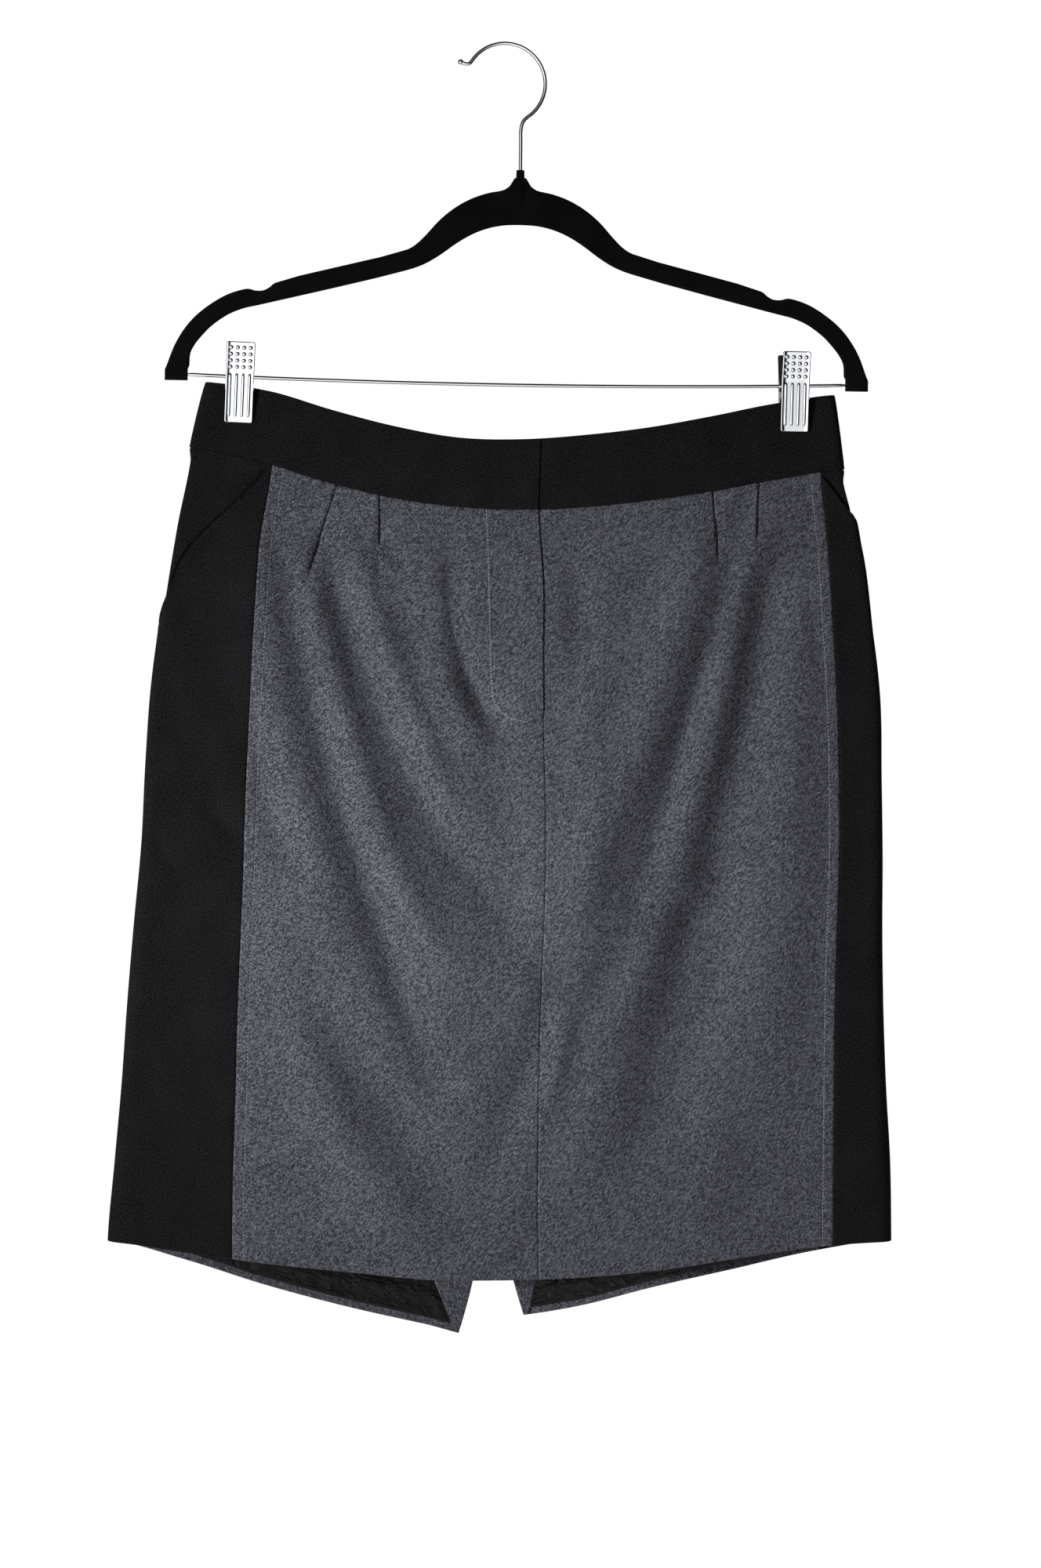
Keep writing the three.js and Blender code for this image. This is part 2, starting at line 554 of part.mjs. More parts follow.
function cloth() {
  const half = clothThickness / 2;
  const frontLeft = panelGrid((down) => frontLaps(down, "leftSeam", "centre"));
  const frontRight = panelGrid((down) => frontLaps(down, "centre", "rightSeam"));
  const backRight = panelGrid(backRightLaps, "right");
  const backLeft = panelGrid(backLeftLaps, "left");
  const panels = [
    wall("front_left", frontLeft, -half, half, wool),
    wall("front_right", frontRight, -half, half, wool),
    wall("back_left", backLeft, -half, half, wool),
    wall("back_right", backRight, -half, half, wool),
    ...sidePanel("left", sideLeftLaps, sideLeftLaps(0).length - 1),
    ...sidePanel("right", sideRightLaps, 0),
  ];
  const waist = (laps) => laps(topRow);
  const bands = [
    band("front_left", [...waist(sideLeftLaps), ...waist((d) => frontLaps(d, "leftSeam", "centre"))]),
    band("front_right", [...waist((d) => frontLaps(d, "centre", "rightSeam")), ...waist(sideRightLaps)]),
    band("back", [...waist(backRightLaps), ...waist(backLeftLaps)]),
  ];

  const lining = { outer: -half - layerGap, inner: -half - layerGap - liningThickness };
  const trim = 0.02;
  const whole = (from, to) => Array.from({ length: to - from + 1 }, (_, i) => from + i);
  const liningRows = [trim * 4, ...whole(1, skirtRows - 1), skirtRows - 1 + liningHemRise];
  const facingRows = [...whole(facingTopRow, skirtRows - 1), skirtRows - trim];
  const layer = (name, grid, rows, columns, material) =>
    wall(name, pick(grid, rows, columns), lining.inner, lining.outer, material);
  const layers = [
    layer("lining_left", backLeft, liningRows, [2 + trim, ...whole(3, 12)], satin),
    layer("lining_right", backRight, liningRows, [...whole(0, 9), 10 - trim], satin),
    layer("vent_facing_left", backLeft, facingRows, [0, 1, 2 - trim], wool),
    layer("vent_facing_right", backRight, facingRows, [10 + trim, 11, 12], wool),
  ];
  return [...panels, ...bands, ...layers, ...flyZip(frontLeft, frontRight)];
}

// The zip behind the fly: a tape across the centre front with a thicker chain down it, and
// its slider at the top
function flyZip(frontLeft, frontRight) {
  const tape = 1;
  const chain = 2;
  const top = 0.06;
  const outer = -clothThickness / 2 - layerGap;
  const rows = [top, ...Array.from({ length: zipRows }, (_, i) => i + 1)];
  const grid = rows.map((row) => {
    const left = between(frontLeft, row, frontColumns);
    const right = between(frontRight, row, 0);
    const middle = { point: left.point.clone().lerp(right.point, 0.5), normal: left.normal };
    return [between(frontLeft, row, frontColumns - 1), middle, between(frontRight, row, 1)];
  });
  const inner = (column) => outer - (column === 1 ? chain : tape);
  const slider = { width: 7, depth: 2.4, height: 10 };
  const under = between(frontLeft, 0.45, frontColumns);
  const shape = new THREE.BoxGeometry(slider.width, slider.depth, slider.height);
  const sliderMesh = new THREE.Mesh(shape, chrome);
  sliderMesh.name = "zip_slider";
  const clear = 0.5;
  const offset = outer - chain - clear - slider.depth / 2;
  sliderMesh.position.copy(under.point).addScaledVector(under.normal, offset);
  sliderMesh.rotation.x = Math.asin(-under.normal.z);
  return [wall("zip_tape", grid, inner, outer, black), sliderMesh];
}

// three.js geometry to a solid and back, for joins and cuts
function solidOf(geometry) {
  const bare = geometry.clone();
  bare.deleteAttribute("normal");
  bare.deleteAttribute("uv");
  const merged = mergeVertices(bare, 1e-4);
  const mesh = new wasm.Mesh({
    numProp: 3,
    vertProperties: new Float32Array(merged.attributes.position.array),
    triVerts: new Uint32Array(merged.index.array),
  });
  return new wasm.Manifold(mesh);
}
function meshOf(name, solid, material) {
  const { vertProperties, triVerts } = solid.getMesh();
  const geometry = new THREE.BufferGeometry();
  geometry.setAttribute("position", new THREE.BufferAttribute(vertProperties, 3));
  geometry.setIndex(new THREE.BufferAttribute(triVerts, 1));
  geometry.computeVertexNormals();
  const mesh = new THREE.Mesh(geometry, material);
  mesh.name = name;
  return mesh;
}

// An outline in the plane of Y and Z, pushed along X between two places
function alongX(points, fromX, toX) {
  const shape = new THREE.Shape(points.map(({ y, z }) => new THREE.Vector2(y, z)));
  const geometry = new THREE.ExtrudeGeometry(shape, { depth: toX - fromX, bevelEnabled: false });
  const [alongY, alongZ] = [new THREE.Vector3(0, 1, 0), new THREE.Vector3(0, 0, 1)];
  geometry.applyMatrix4(new THREE.Matrix4().makeBasis(alongY, alongZ, new THREE.Vector3(1, 0, 0)));
  return geometry.translate(fromX, 0, 0);
}
function rod(radius, length, sides) {
  return new THREE.CylinderGeometry(radius, radius, length, sides);
}

function hangerBody() {
  const right = [...hangerNeck].reverse().concat(hangerOutline);
  const outline = [
    ...right.map(({ out, z }) => new THREE.Vector2(out, z)),
    ...[...right].reverse().map(({ out, z }) => new THREE.Vector2(-out, z)),
  ];
  const inset = hangerThickness - 2 * hangerBevel;
  const shape = new THREE.Shape(outline);
  const flat = new THREE.ExtrudeGeometry(shape, {
    depth: inset,
    bevelThickness: hangerBevel,
    bevelSize: 0.8,
    bevelOffset: -0.8,
    bevelSegments: 1,
  });
  flat.rotateX(Math.PI / 2);
  flat.translate(0, inset / 2, 0);
  const neck = rod(sleeve.radius, sleeve.top - sleeve.bottom, 12);
  neck.rotateX(Math.PI / 2).translate(0, 0, (sleeve.top + sleeve.bottom) / 2);
  const bore = rod(wireRadius + boreClearance, sleeve.top - sleeve.boreBottom + 2, 10);
  bore.rotateX(Math.PI / 2).translate(0, 0, (sleeve.top + sleeve.boreBottom) / 2 + 1);
  const barBore = rod(barRadius + boreClearance, 2 * (barHalfLength + 1), 8);
  barBore.rotateZ(Math.PI / 2).translate(0, 0, barEndZ);
  const body = solidOf(flat).add(solidOf(neck)).subtract(solidOf(bore)).subtract(solidOf(barBore));
  const mesh = meshOf("hanger_body", body, flock);
  mesh.position.x = hangerAxisX;
  return mesh;
}

// A wire of round section along a curve in the plane of X and Z
function wire(points, radius, steps) {
  const curve = new THREE.CatmullRomCurve3(points, false, "centripetal");
  const section = new THREE.Shape(
    Array.from({ length: 8 }, (_, i) => {
      const angle = (i * Math.PI) / 4;
      return new THREE.Vector2(radius * Math.cos(angle), radius * Math.sin(angle));
    }),
  );
  return new THREE.ExtrudeGeometry(section, { steps, extrudePath: curve });
}

function hook() {
  const centreZ = wireRadius - hookRadius;
  const tip = [
    [-28.6, -11.2],
    [-25.4, -12.4],
    [-23.2, -12.2],
  ];
  const stem = [
    [11.6, -48.6],
    [hangerAxisX, -54],
    [hangerAxisX, -62],
    [hangerAxisX, sleeve.boreBottom + 1],
  ];
  const arc = [];
  for (let degrees = 148; degrees >= -56; degrees -= 12) {
    const angle = THREE.MathUtils.degToRad(degrees);
    arc.push([hookRadius * Math.cos(angle), centreZ + hookRadius * Math.sin(angle)]);
  }
  const points = [...tip, ...arc, ...stem].map(([x, z]) => new THREE.Vector3(x, 0, z));
  const ball = new THREE.SphereGeometry(1.7, 8, 6).translate(tip[0][0], 0, tip[0][1]);
  return meshOf("hook", solidOf(wire(points, wireRadius, 36)).add(solidOf(ball)), chrome);
}

const barHeight = (out) => barEndZ - barSag * (1 - (out / barHalfLength) ** 2);
function bar() {
  const points = [];
  for (let share = -1; share <= 1; share += 0.25) {
    const out = share * barHalfLength;
    points.push(new THREE.Vector3(hangerAxisX + out, 0, barHeight(out)));
  }
  return meshOf("clip_bar", solidOf(wire(points, barRadius, 14)), chrome);
}

// A clip's leaf with its two ears, its ribs and studs. It is made facing -Y and turned
// about Z for the back one.
function clipLeaf(name, inset) {
  const { width, thickness, tip, knee, top } = leaf;
  const bends = [tip, knee, top];
  const face = (offset) => bends.map(({ out, z }) => ({ y: -out - offset, z }));
  let solid = solidOf(
    alongX([...face(thickness / 2), ...face(-thickness / 2).reverse()], -width / 2, width / 2),
  );
  const earPoints = earOutline.map(({ out, z }) => ({ y: -out, z }));
  for (const side of [-1, 1]) {
    const outer = side * (width / 2 - inset);
    const inner = outer - side * ear.thickness;
    solid = solid.add(solidOf(alongX(earPoints, Math.min(inner, outer), Math.max(inner, outer))));
  }
  const lowerTurn = Math.atan2(knee.out - tip.out, knee.z - tip.z);
  const upperTurn = Math.atan2(top.out - knee.out, top.z - knee.z);
  const outAt = (z, turn) => knee.out + (z - knee.z) * Math.tan(turn) + thickness / 2;
  for (let column = 0; column < rib.count; column++) {
    const x = (column - (rib.count - 1) / 2) * reliefPitch;
    const length = rib.topZ - rib.bottomZ;
    const ribShape = new THREE.CylinderGeometry(rib.width / 2, rib.width / 2, length, 5, 1);
    ribShape.scale(1, 1, (2 * rib.height) / rib.width).rotateX(Math.PI / 2 + lowerTurn);
    const middle = (rib.topZ + rib.bottomZ) / 2;
    ribShape.translate(x, -outAt(middle, lowerTurn), middle);
    solid = solid.add(solidOf(ribShape));
    for (let row = 0; row < stud.rows; row++) {
      const z = stud.firstZ + row * stud.pitch;
      const cone = new THREE.ConeGeometry(stud.radius, stud.height * 1.3, 4, 1);
      cone.rotateX(Math.PI / 2 - upperTurn).translate(x, -outAt(z, upperTurn) - 0.3, z);
      solid = solid.add(solidOf(cone));
    }
  }
  const hole = rod(barRadius + ear.holeClearance, width + 4, 10).rotateZ(Math.PI / 2);
  return meshOf(name, solid.subtract(solidOf(hole)), chrome);
}

function clip(side) {
  const group = new THREE.Group();
  const front = clipLeaf(`clip_${side}_front`, ear.frontInset);
  const back = clipLeaf(`clip_${side}_back`, ear.backInset);
  back.rotation.z = Math.PI;
  const rim = [
    [barRadius + boreClearance, -spring.halfLength],
    [spring.radius, -spring.halfLength],
    [spring.radius, spring.halfLength],
    [barRadius + boreClearance, spring.halfLength],
    [barRadius + boreClearance, -spring.halfLength],
  ].map(([r, z]) => new THREE.Vector2(r, z));
  const coil = new THREE.LatheGeometry(rim, 12).rotateZ(Math.PI / 2);
  const coilMesh = new THREE.Mesh(coil, chrome);
  coilMesh.name = `clip_${side}_spring`;
  group.add(front, back, coilMesh);
  group.position.set(hangerAxisX + clipPlaces[side], 0, barHeight(clipPlaces[side]));
  group.rotation.y = THREE.MathUtils.degToRad(clipTurns[side]);
  return group;
}

const hanger = new THREE.Group();
hanger.rotation.y = hangerTilt;
hanger.add(hangerBody(), hook(), bar(), clip("left"), clip("right"));

const skirt = new THREE.Group();
skirt.add(...cloth());

const model = new THREE.Group();
model.add(hanger, skirt);

export default model;
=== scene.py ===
import math

import bpy
import numpy as np
from bpy.props import FloatProperty, FloatVectorProperty, IntProperty, PointerProperty
from bpy.types import Operator, Panel, PropertyGroup
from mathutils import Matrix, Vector


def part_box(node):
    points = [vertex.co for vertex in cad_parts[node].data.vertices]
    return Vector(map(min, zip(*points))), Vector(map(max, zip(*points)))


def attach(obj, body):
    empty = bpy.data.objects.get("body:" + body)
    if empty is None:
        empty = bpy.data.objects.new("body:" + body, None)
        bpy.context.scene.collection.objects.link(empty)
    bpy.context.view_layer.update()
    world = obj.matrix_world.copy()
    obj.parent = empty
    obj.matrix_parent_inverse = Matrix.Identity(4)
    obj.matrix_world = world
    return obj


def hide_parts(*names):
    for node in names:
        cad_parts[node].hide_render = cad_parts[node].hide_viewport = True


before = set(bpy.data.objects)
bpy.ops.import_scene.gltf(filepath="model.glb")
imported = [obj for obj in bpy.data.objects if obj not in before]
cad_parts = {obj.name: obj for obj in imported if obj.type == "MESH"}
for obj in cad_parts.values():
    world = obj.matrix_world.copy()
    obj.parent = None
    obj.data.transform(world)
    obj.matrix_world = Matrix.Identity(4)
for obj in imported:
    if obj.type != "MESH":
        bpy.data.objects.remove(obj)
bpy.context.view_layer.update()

bl_info = {
    "name": "Pencil skirt on a clip hanger",
    "version": (1, 0, 0),
    "blender": (4, 5, 0),
    "location": "View3D > Sidebar > Skirt",
    "description": "Makes a grey and black pencil skirt that hangs from a clip hanger",
    "category": "Object",
}

# Every size below is in millimetres until a mesh is made
MM = 0.001


def table(columns, *rows):
    """Named columns from rows of numbers."""
    return dict(zip(columns.split(), np.array(rows, float).T))


SKIRT_LENGTH = 500
BAND_HEIGHT = 42
CENTRE_BACK = -7.5
VENT_HEIGHT = 150
VENT_SPREAD = {"left": -20.8, "right": 21.1}
TURN = {"left": -1, "right": 1}
# How far a side seam lies behind its fold, at the waist and at the hem
BEHIND_FOLD = {"left": (5, 6), "right": (40, 49)}
EDGE_STITCHES = 7
FLY_END = 139
FLY_WIDTH = 34
POCKET_UNDERLAP = 4
# How thick the thread along the front panels' edges is, in metres
FINE_THREAD = 0.00042
HALF_CLOTH = 0.8
HALF_BAND = 1.2
SECTIONS = table(
    "left_fold left_seam centre right_seam right_fold",
    (-200.4, -148.8, 20.0, 202.5, 216.8),
    (-209.8, -156.6, 22.9, 207.0, 228.5),
    (-217.9, -160.3, 22.3, 209.9, 235.1),
    (-224.7, -162.8, 22.7, 212.4, 240.2),
    (-228.3, -165.3, 23.7, 213.5, 241.0),
    (-230.8, -166.8, 23.1, 213.4, 241.6),
    (-235.5, -168.8, 21.3, 211.6, 241.4),
    (-239.7, -170.8, 19.9, 210.3, 242.2),
    (-243.2, -172.0, 19.1, 209.6, 243.8),
    (-247.7, -173.6, 18.7, 209.2, 246.5),
    (-252.1, -174.2, 19.1, 208.9, 247.2),
)
HEIGHTS = table(
    "band_top seam front_hem back_hem_left back_hem_right",
    (-216.0, -257.4, -760.4, -760.4, -760.4),
    (-221.8, -265.6, -767.3, -774.5, -774.5),
    (-233.8, -278.6, -774.0, -791.5, -791.5),
    (-244.1, -288.8, -778.9, -806.0, -803.0),
    (-251.0, -294.8, -783.8, -818.2, -813.5),
    (-251.8, -296.7, -784.6, -829.4, -814.6),
    (-248.8, -294.9, -783.3, -818.0, -808.0),
    (-243.8, -290.2, -779.4, -800.0, -795.4),
    (-236.4, -284.0, -772.8, -783.7, -783.7),
    (-228.0, -276.0, -766.6, -771.8, -771.8),
    (-221.8, -269.6, -763.9, -763.9, -763.9),
)
POCKET_EDGE = table(
    "from_seam drop", (0, 2), (16, 27), (33, 49.5), (48.6, 71), (55, 90), (59.5, 109), (66, 112), (90, 112)
)
CREASE = "x0 z0 x1 z1 x2 z2 width depth"
FRONT_CREASES = table(
    CREASE,
    (-148, -275, -87, -538, -21, -709, 12.5, 6.5),
    (-121, -275, -66, -454, 28, -589, 17, 8.5),
    (-84, -340, -12, -445, -4, -624, 16, 4.5),
    (150, -286, 135, -367, 55, -630, 9.5, 4.5),
    (164, -323, 149, -434, 71, -682, 17, 6.5),
    (-158, -583, -88, -660, -24, -740, 16, 4),
    (37, -567, 4, -675, -26, -723, 13, 5),
    (46, -320, 46, -365, 45, -412, 10, 3),
    (82, -563, 42, -645, 6, -795, 12, 3),
    (120, -533, 105, -608, 66, -714, 17, 7),
    (137, -467, 122, -630, 48, -730, 17, 6.5),
    (10, -583, 26, -590, 44, -593, 6, 2.5),
    (-160, -415, -144, -500, -112, -535, 10.5, 5.5),
    (-79, -296, -77, -316, -66, -336, 6, 2.5),
    (152, -696, 126, -732, 119, -770, 17, -3),
    (-135, -275, -91, -481, -14, -608, 11.5, -6.5),
    (-114, -287, -64, -420, -26, -516, 9.5, -6.5),
    (117, -281, 102, -393, 16, -605, 16, -6.5),
    (145, -275, 141, -395, 71, -688, 17, -6.5),
    (179, -323, 181, -507, 156, -747, 17, -3),
    (-158, -275, -146, -439, -77, -649, 17, -6),
    (-152, -529, -100, -700, -25, -765, 17, -6),
    (-41, -310, -32, -410, 8, -472, 15, -6),
    (53, -355, 51, -500, 44, -605, 15.5, -3.5),
    (28, -602, 33, -638, 21, -690, 7, -2.5),
    (-50, -634, -15, -628, 13, -618, 12, 2.5),
    (-32, -293, -28, -395, 14, -451, 9.5, 5),
    (-198, -481, -180, -496, -165, -514, 7, 2.5),
)
FRONT_PUCKERS = table(
    CREASE,
    (-117, -310, -122, -328, -128, -347, 4, 2),
    (-97, -309, -91, -315, -84, -322, 3, 1.2),
    (-79, -321, -71, -330, -62, -341, 3, 1.2),
    (-81, -308, -82, -326, -78, -345, 3.5, 1.3),
    (133, -300, 135, -316, 131, -334, 3.5, 1.4),
    (162, -288, 163, -306, 158, -326, 3.5, 1.6),
    (-38, -330, -31, -384, -8, -436, 3, 1.3),
    (-230, -500, -214, -520, -200, -538, 5, 1.5),
    (193, -340, 197, -372, 198, -402, 5, 1),
)
BACK_CREASES = table(
    CREASE,
    (-150, -300, -118, -455, -48, -622, 11, 5),
    (-108, -312, -80, -430, -26, -545, 10, 3.5),
    (-182, -420, -152, -565, -98, -722, 13, 4),
    (168, -306, 134, -468, 62, -640, 11, 2.5),
    (122, -300, 92, -420, 30, -556, 10, 3),
    (186, -520, 160, -640, 112, -752, 13, 4),
)
BACK_PUCKERS = table(
    CREASE,
    (-112, -392, -112, -408, -104, -428, 4, 1.5),
    (-62, -398, -61, -414, -52, -434, 4, 1.3),
    (48, -398, 47, -414, 40, -434, 4, 1.3),
    (104, -392, 104, -408, 97, -428, 4, 1.5),
)
# Darts: where each starts at the waist seam, how far it slants and how long it is
FRONT_LEFT_DARTS = table("x slant length", (-107.5, -18, 58), (-80.5, 0, 33))
FRONT_RIGHT_DARTS = table("x slant length", (132, 3, 45), (162, -2, 34))
BACK_RIGHT_DARTS = table("x slant length", (110, -6, 110), (52, -4, 112))
BACK_LEFT_DARTS = table("x slant length", (-67, 4, 112), (-118, 6, 110))
FLY_STITCHES = table(
    "x z", (-13, -298), (-12, -322), (-11.5, -350), (-11, -379), (-10, -408), (-8.6, -418), (-4, -425.5),
    (2, -429.5), (9, -431.5), (18, -432),
)
EDGE_STEPS = (0.35, 0.9, 1.7, 2.8, 4.2, 6, 8)


def smooth(t):
    t = np.clip(t, 0, 1)
    return t * t * (3 - 2 * t)


def mix(a, b, t):
    return a + (b - a) * t


def along(column, place):
    """An evenly spaced column at a place from 0 to 1 along it, on a smooth curve."""
    last = len(column) - 1
    at = np.clip(place, 0, 1) * last
    row = np.minimum(last - 1, np.floor(at)).astype(int)
    t = at - row
    a, b, c, d = (column[np.clip(row + k, 0, last)] for k in (-1, 0, 1, 2))
    return b + 0.5 * t * (c - a + t * (2 * a - 5 * b + 4 * c - d + t * (3 * (b - c) + d - a)))


def crease_depth(creases, x, z):
    """How deep the creases are at places on a face."""
    total = np.zeros(np.broadcast(x, z).shape)
    steps = 20
    t = np.linspace(0, 1, steps + 1)
    first, middle, last = (1 - t) * (1 - 2 * t), 4 * t * (1 - t), t * (2 * t - 1)
    for row in zip(*creases.values()):
        x0, z0, x1, z1, x2, z2, width, depth = row
        xs, zs = first * x0 + middle * x1 + last * x2, first * z0 + middle * z1 + last * z2
        nearest = np.full(total.shape, np.inf)
        share_there = np.zeros(total.shape)
        for k in range(steps):
            run_x, run_z = xs[k + 1] - xs[k], zs[k + 1] - zs[k]
            share = ((x - xs[k]) * run_x + (z - zs[k]) * run_z) / (run_x**2 + run_z**2)
            share = np.clip(share, 0, 1)
            distance = np.hypot(x - xs[k] - share * run_x, z - zs[k] - share * run_z)
            closer = distance < nearest
            nearest = np.where(closer, distance, nearest)
            share_there = np.where(closer, (k + share) / steps, share_there)
        taper = smooth(share_there * 4) * smooth((1 - share_there) * 3)
        total += depth * taper * np.exp(-((nearest / width) ** 2))
    return total


def skirt_section(down):
    """The flattened tube at a height: its folds, their radius and how far its faces stand out."""
    fall = smooth((down - 0.5) / 0.5)
    return {
        "left": along(SECTIONS["left_fold"], down),
        "right": along(SECTIONS["right_fold"], down),
        "radius": mix(1.8, 8, smooth(down / 0.8)),
        "front": 8 + 15 * smooth(down / 0.4) - 5 * fall,
        "back": 8 + 20 * smooth(down / 0.45) - 4 * fall,
    }


def band_section(down):
    return {
        "left": mix(-189.9, -200.4, down**0.85),
        "right": mix(210.3, 216.9, down**0.85),
        "radius": 1.8 + 0 * down,
        "front": 8,
        "back": 8,
    }


def face_length(s):
    return s["right"] - s["left"] - 2 * s["radius"] + math.pi * s["radius"]


def arc_of_front(s, x):
    """How far round from the left fold an X lies on the front."""
    return x - s["left"] - s["radius"] + math.pi * s["radius"] / 2


def arc_of_back(s, x):
    return 2 * face_length(s) - arc_of_front(s, x)


def on_section(s, lap):
    """Where a lap lies: 0 at the left fold, 1 at the right one and 2 at the left again."""
    wrapped = np.mod(lap, 2)
    front = wrapped < 1
    length, r = face_length(s), s["radius"]
    walked = np.where(front, wrapped, 2 - wrapped) * length
    left = length - walked
    quarter = math.pi * r / 2
    x = s["left"] + r + walked - quarter
    depth = r + 0 * x
    near_left, near_right = walked < quarter, left < quarter
    x = np.where(near_left, s["left"] + r * (1 - np.cos(walked / r)), x)
    depth = np.where(near_left, r * np.sin(walked / r), depth)
    x = np.where(near_right, s["right"] - r * (1 - np.cos(left / r)), x)
    depth = np.where(near_right, r * np.sin(left / r), depth)
    across = (2 * x - s["left"] - s["right"]) / (s["right"] - s["left"])
    bulge = np.maximum(0, 1 - across**2) ** 1.6
    fade = smooth(np.minimum(x - s["left"], s["right"] - x) / 14)
    return front, x, across, fade, depth + bulge * np.where(front, s["front"], s["back"])


def vent_open(down):
    """How far down the vent a height lies: 0 at its top and above it, 1 at the hem."""
    return np.clip(1 - (1 - down) * SKIRT_LENGTH / VENT_HEIGHT, 0, 1)


def vent_edge(side, down):
    """The X of a back panel's edge at the vent, where the two panels swing apart."""
    return CENTRE_BACK + VENT_SPREAD[side] * vent_open(down) ** 2.3


def back_seam(side, down):
    """The arc of a back panel's seam behind the side fold."""
    length, behind = face_length(skirt_section(down)), mix(*BEHIND_FOLD[side], down)
    return length + behind if side == "right" else 2 * length - behind


def skirt_point(lap, down, side="left"):
    """Points of the skirt's middle surface below the waist seam. side is of the back vent."""
    front, x, across, fade, depth = on_section(skirt_section(down), lap)
    place = (across + 1) / 2
    seam = along(HEIGHTS["seam"], place)
    z_front = mix(seam, along(HEIGHTS["front_hem"], place), down)
    z_back = mix(seam - 6 * (1 - across**2), along(HEIGHTS["back_hem_" + side], place), down)
    folds = crease_depth(FRONT_CREASES, x, z_front) + crease_depth(FRONT_PUCKERS, x, z_front)
    hollows = crease_depth(BACK_CREASES, x, z_back) + crease_depth(BACK_PUCKERS, x, z_back)
    swing = {"left": 4, "right": -3}[side] * vent_open(down) ** 2 * np.exp(-np.abs(x - CENTRE_BACK) / 40)
    y = np.where(front, -depth + fade * folds, depth + swing - fade * hollows)
    return np.stack(np.broadcast_arrays(x, y, np.where(front, z_front, z_back)), axis=-1)


def band_point(lap, down):
    """Points of the waistband's middle surface, from its top edge down to the seam."""
    front, x, across, _, depth = on_section(band_section(down), lap)
    place = (across + 1) / 2
    lower = np.where(front, 0, 1 - across**2)
    top = along(HEIGHTS["band_top"], place) - 8 * lower
    seam = along(HEIGHTS["seam"], place) - 6 * lower
    near_clip = np.minimum(np.abs(x + 169.3), np.abs(x - 185.1))
    pinch = 0.9 * np.exp(-((near_clip / 16) ** 4)) * (1 - smooth(2 * down - 1))
    y = np.where(front, pinch - depth, depth - pinch)
    return np.stack(np.broadcast_arrays(x, y, mix(top, seam, down)), axis=-1)


def unit(v):
    return v / np.maximum(np.linalg.norm(v, axis=-1, keepdims=True), 1e-9)


def on_surface(laps, downs, point_at):
    """Middle points and outward normals."""
    roundwards = point_at(laps + 0.0012, downs) - point_at(laps - 0.0012, downs)
    upper, lower = np.maximum(0, downs - 0.001), np.minimum(1, downs + 0.001)
    downwards = point_at(laps, lower) - point_at(laps, upper)
    return point_at(laps, downs), unit(np.cross(downwards, roundwards))


def spread(marks, step):
    """Distances across a panel, a row for each of its heights, closer together by every mark."""
    marks = [np.atleast_1d(np.asarray(mark, float))[:, None] for mark in marks]
    parts = [marks[0]]
    for a, b in zip(marks, marks[1:]):
        width = b - a
        near = np.array([k for k in EDGE_STEPS if k < width.min() / 2 - 0.3])
        count = max(1, round((width.max() - 2 * near[-1]) / step))
        middle = a + near[-1] + (width - 2 * near[-1]) * np.linspace(0, 1, count + 1)
        parts += [a + near[:-1], middle, b - near[-2::-1] if len(near) > 1 else b[:, :0], b]
    return np.hstack(parts)


def down_rows(step, length=SKIRT_LENGTH):
    """Heights of a panel's rows from 0 to 1, closer together at its two ends."""
    return spread([[0], [length]], step)[0] / length


def columns_between(first, last, count):
    return mix(first[:, None], last[:, None], np.linspace(0, 1, count)[None, :])


def from_ends(arcs, last_first=False):
    """How far every column of a grid lies from its first one and from its last one."""
    ends = arcs - arcs[:, :1], arcs[:, -1:] - arcs
    return ends[::-1] if last_first else ends


def skirt_grid(arcs, downs, side="left"):
    """The heights, points and normals of a panel from its arcs and the height of each row."""
    heights = np.repeat(downs[:, None], arcs.shape[1], axis=1)
    laps = arcs / face_length(skirt_section(downs))[:, None]
    return heights, *on_surface(laps, heights, lambda l, d: skirt_point(l, d, side))


class Sewn:
    """Points and faces that grow into one piece."""

    def __init__(self):
        self.points, self.faces, self.uvs, self.flats = [], [], [], []
        self.count = 0

    def add(self, points, faces, uvs=None, flat=False):
        points = np.asarray(points, float).reshape(-1, 3)
        self.points.append(points)
        self.faces += [[i + self.count for i in face] for face in faces]
        self.flats += [flat] * len(faces)
        self.uvs.append(points[:, [0, 2]] if uvs is None else np.asarray(uvs, float).reshape(-1, 2))
        self.count += len(points)
        return self

    def piece(self, name, slot, replaces=()):
        points, uvs = np.concatenate(self.points) * MM, np.concatenate(self.uvs) * MM
        mesh = bpy.data.meshes.new(name)
        mesh.from_pydata(points.tolist(), [], self.faces)
        layer = mesh.uv_layers.new(name="cloth")
        corners = np.empty(len(mesh.loops), dtype=np.int32)
        mesh.loops.foreach_get("vertex_index", corners)
        layer.data.foreach_set("uv", uvs[corners].astype(np.float32).ravel())
        mesh.polygons.foreach_set("use_smooth", [not flat for flat in self.flats])
        mesh.materials.append(look(slot))
        mesh.update()
        return finish_piece(bpy.data.objects.new(name, mesh), replaces)


def finish_piece(piece, replaces):
    if piece.name not in bpy.context.scene.collection.objects:
        bpy.context.scene.collection.objects.link(piece)
    if not piece.data.polygons:
        raise RuntimeError(f"{piece.name} has no faces")
    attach(piece, "root")
    if replaces:
        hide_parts(*replaces)
    return piece


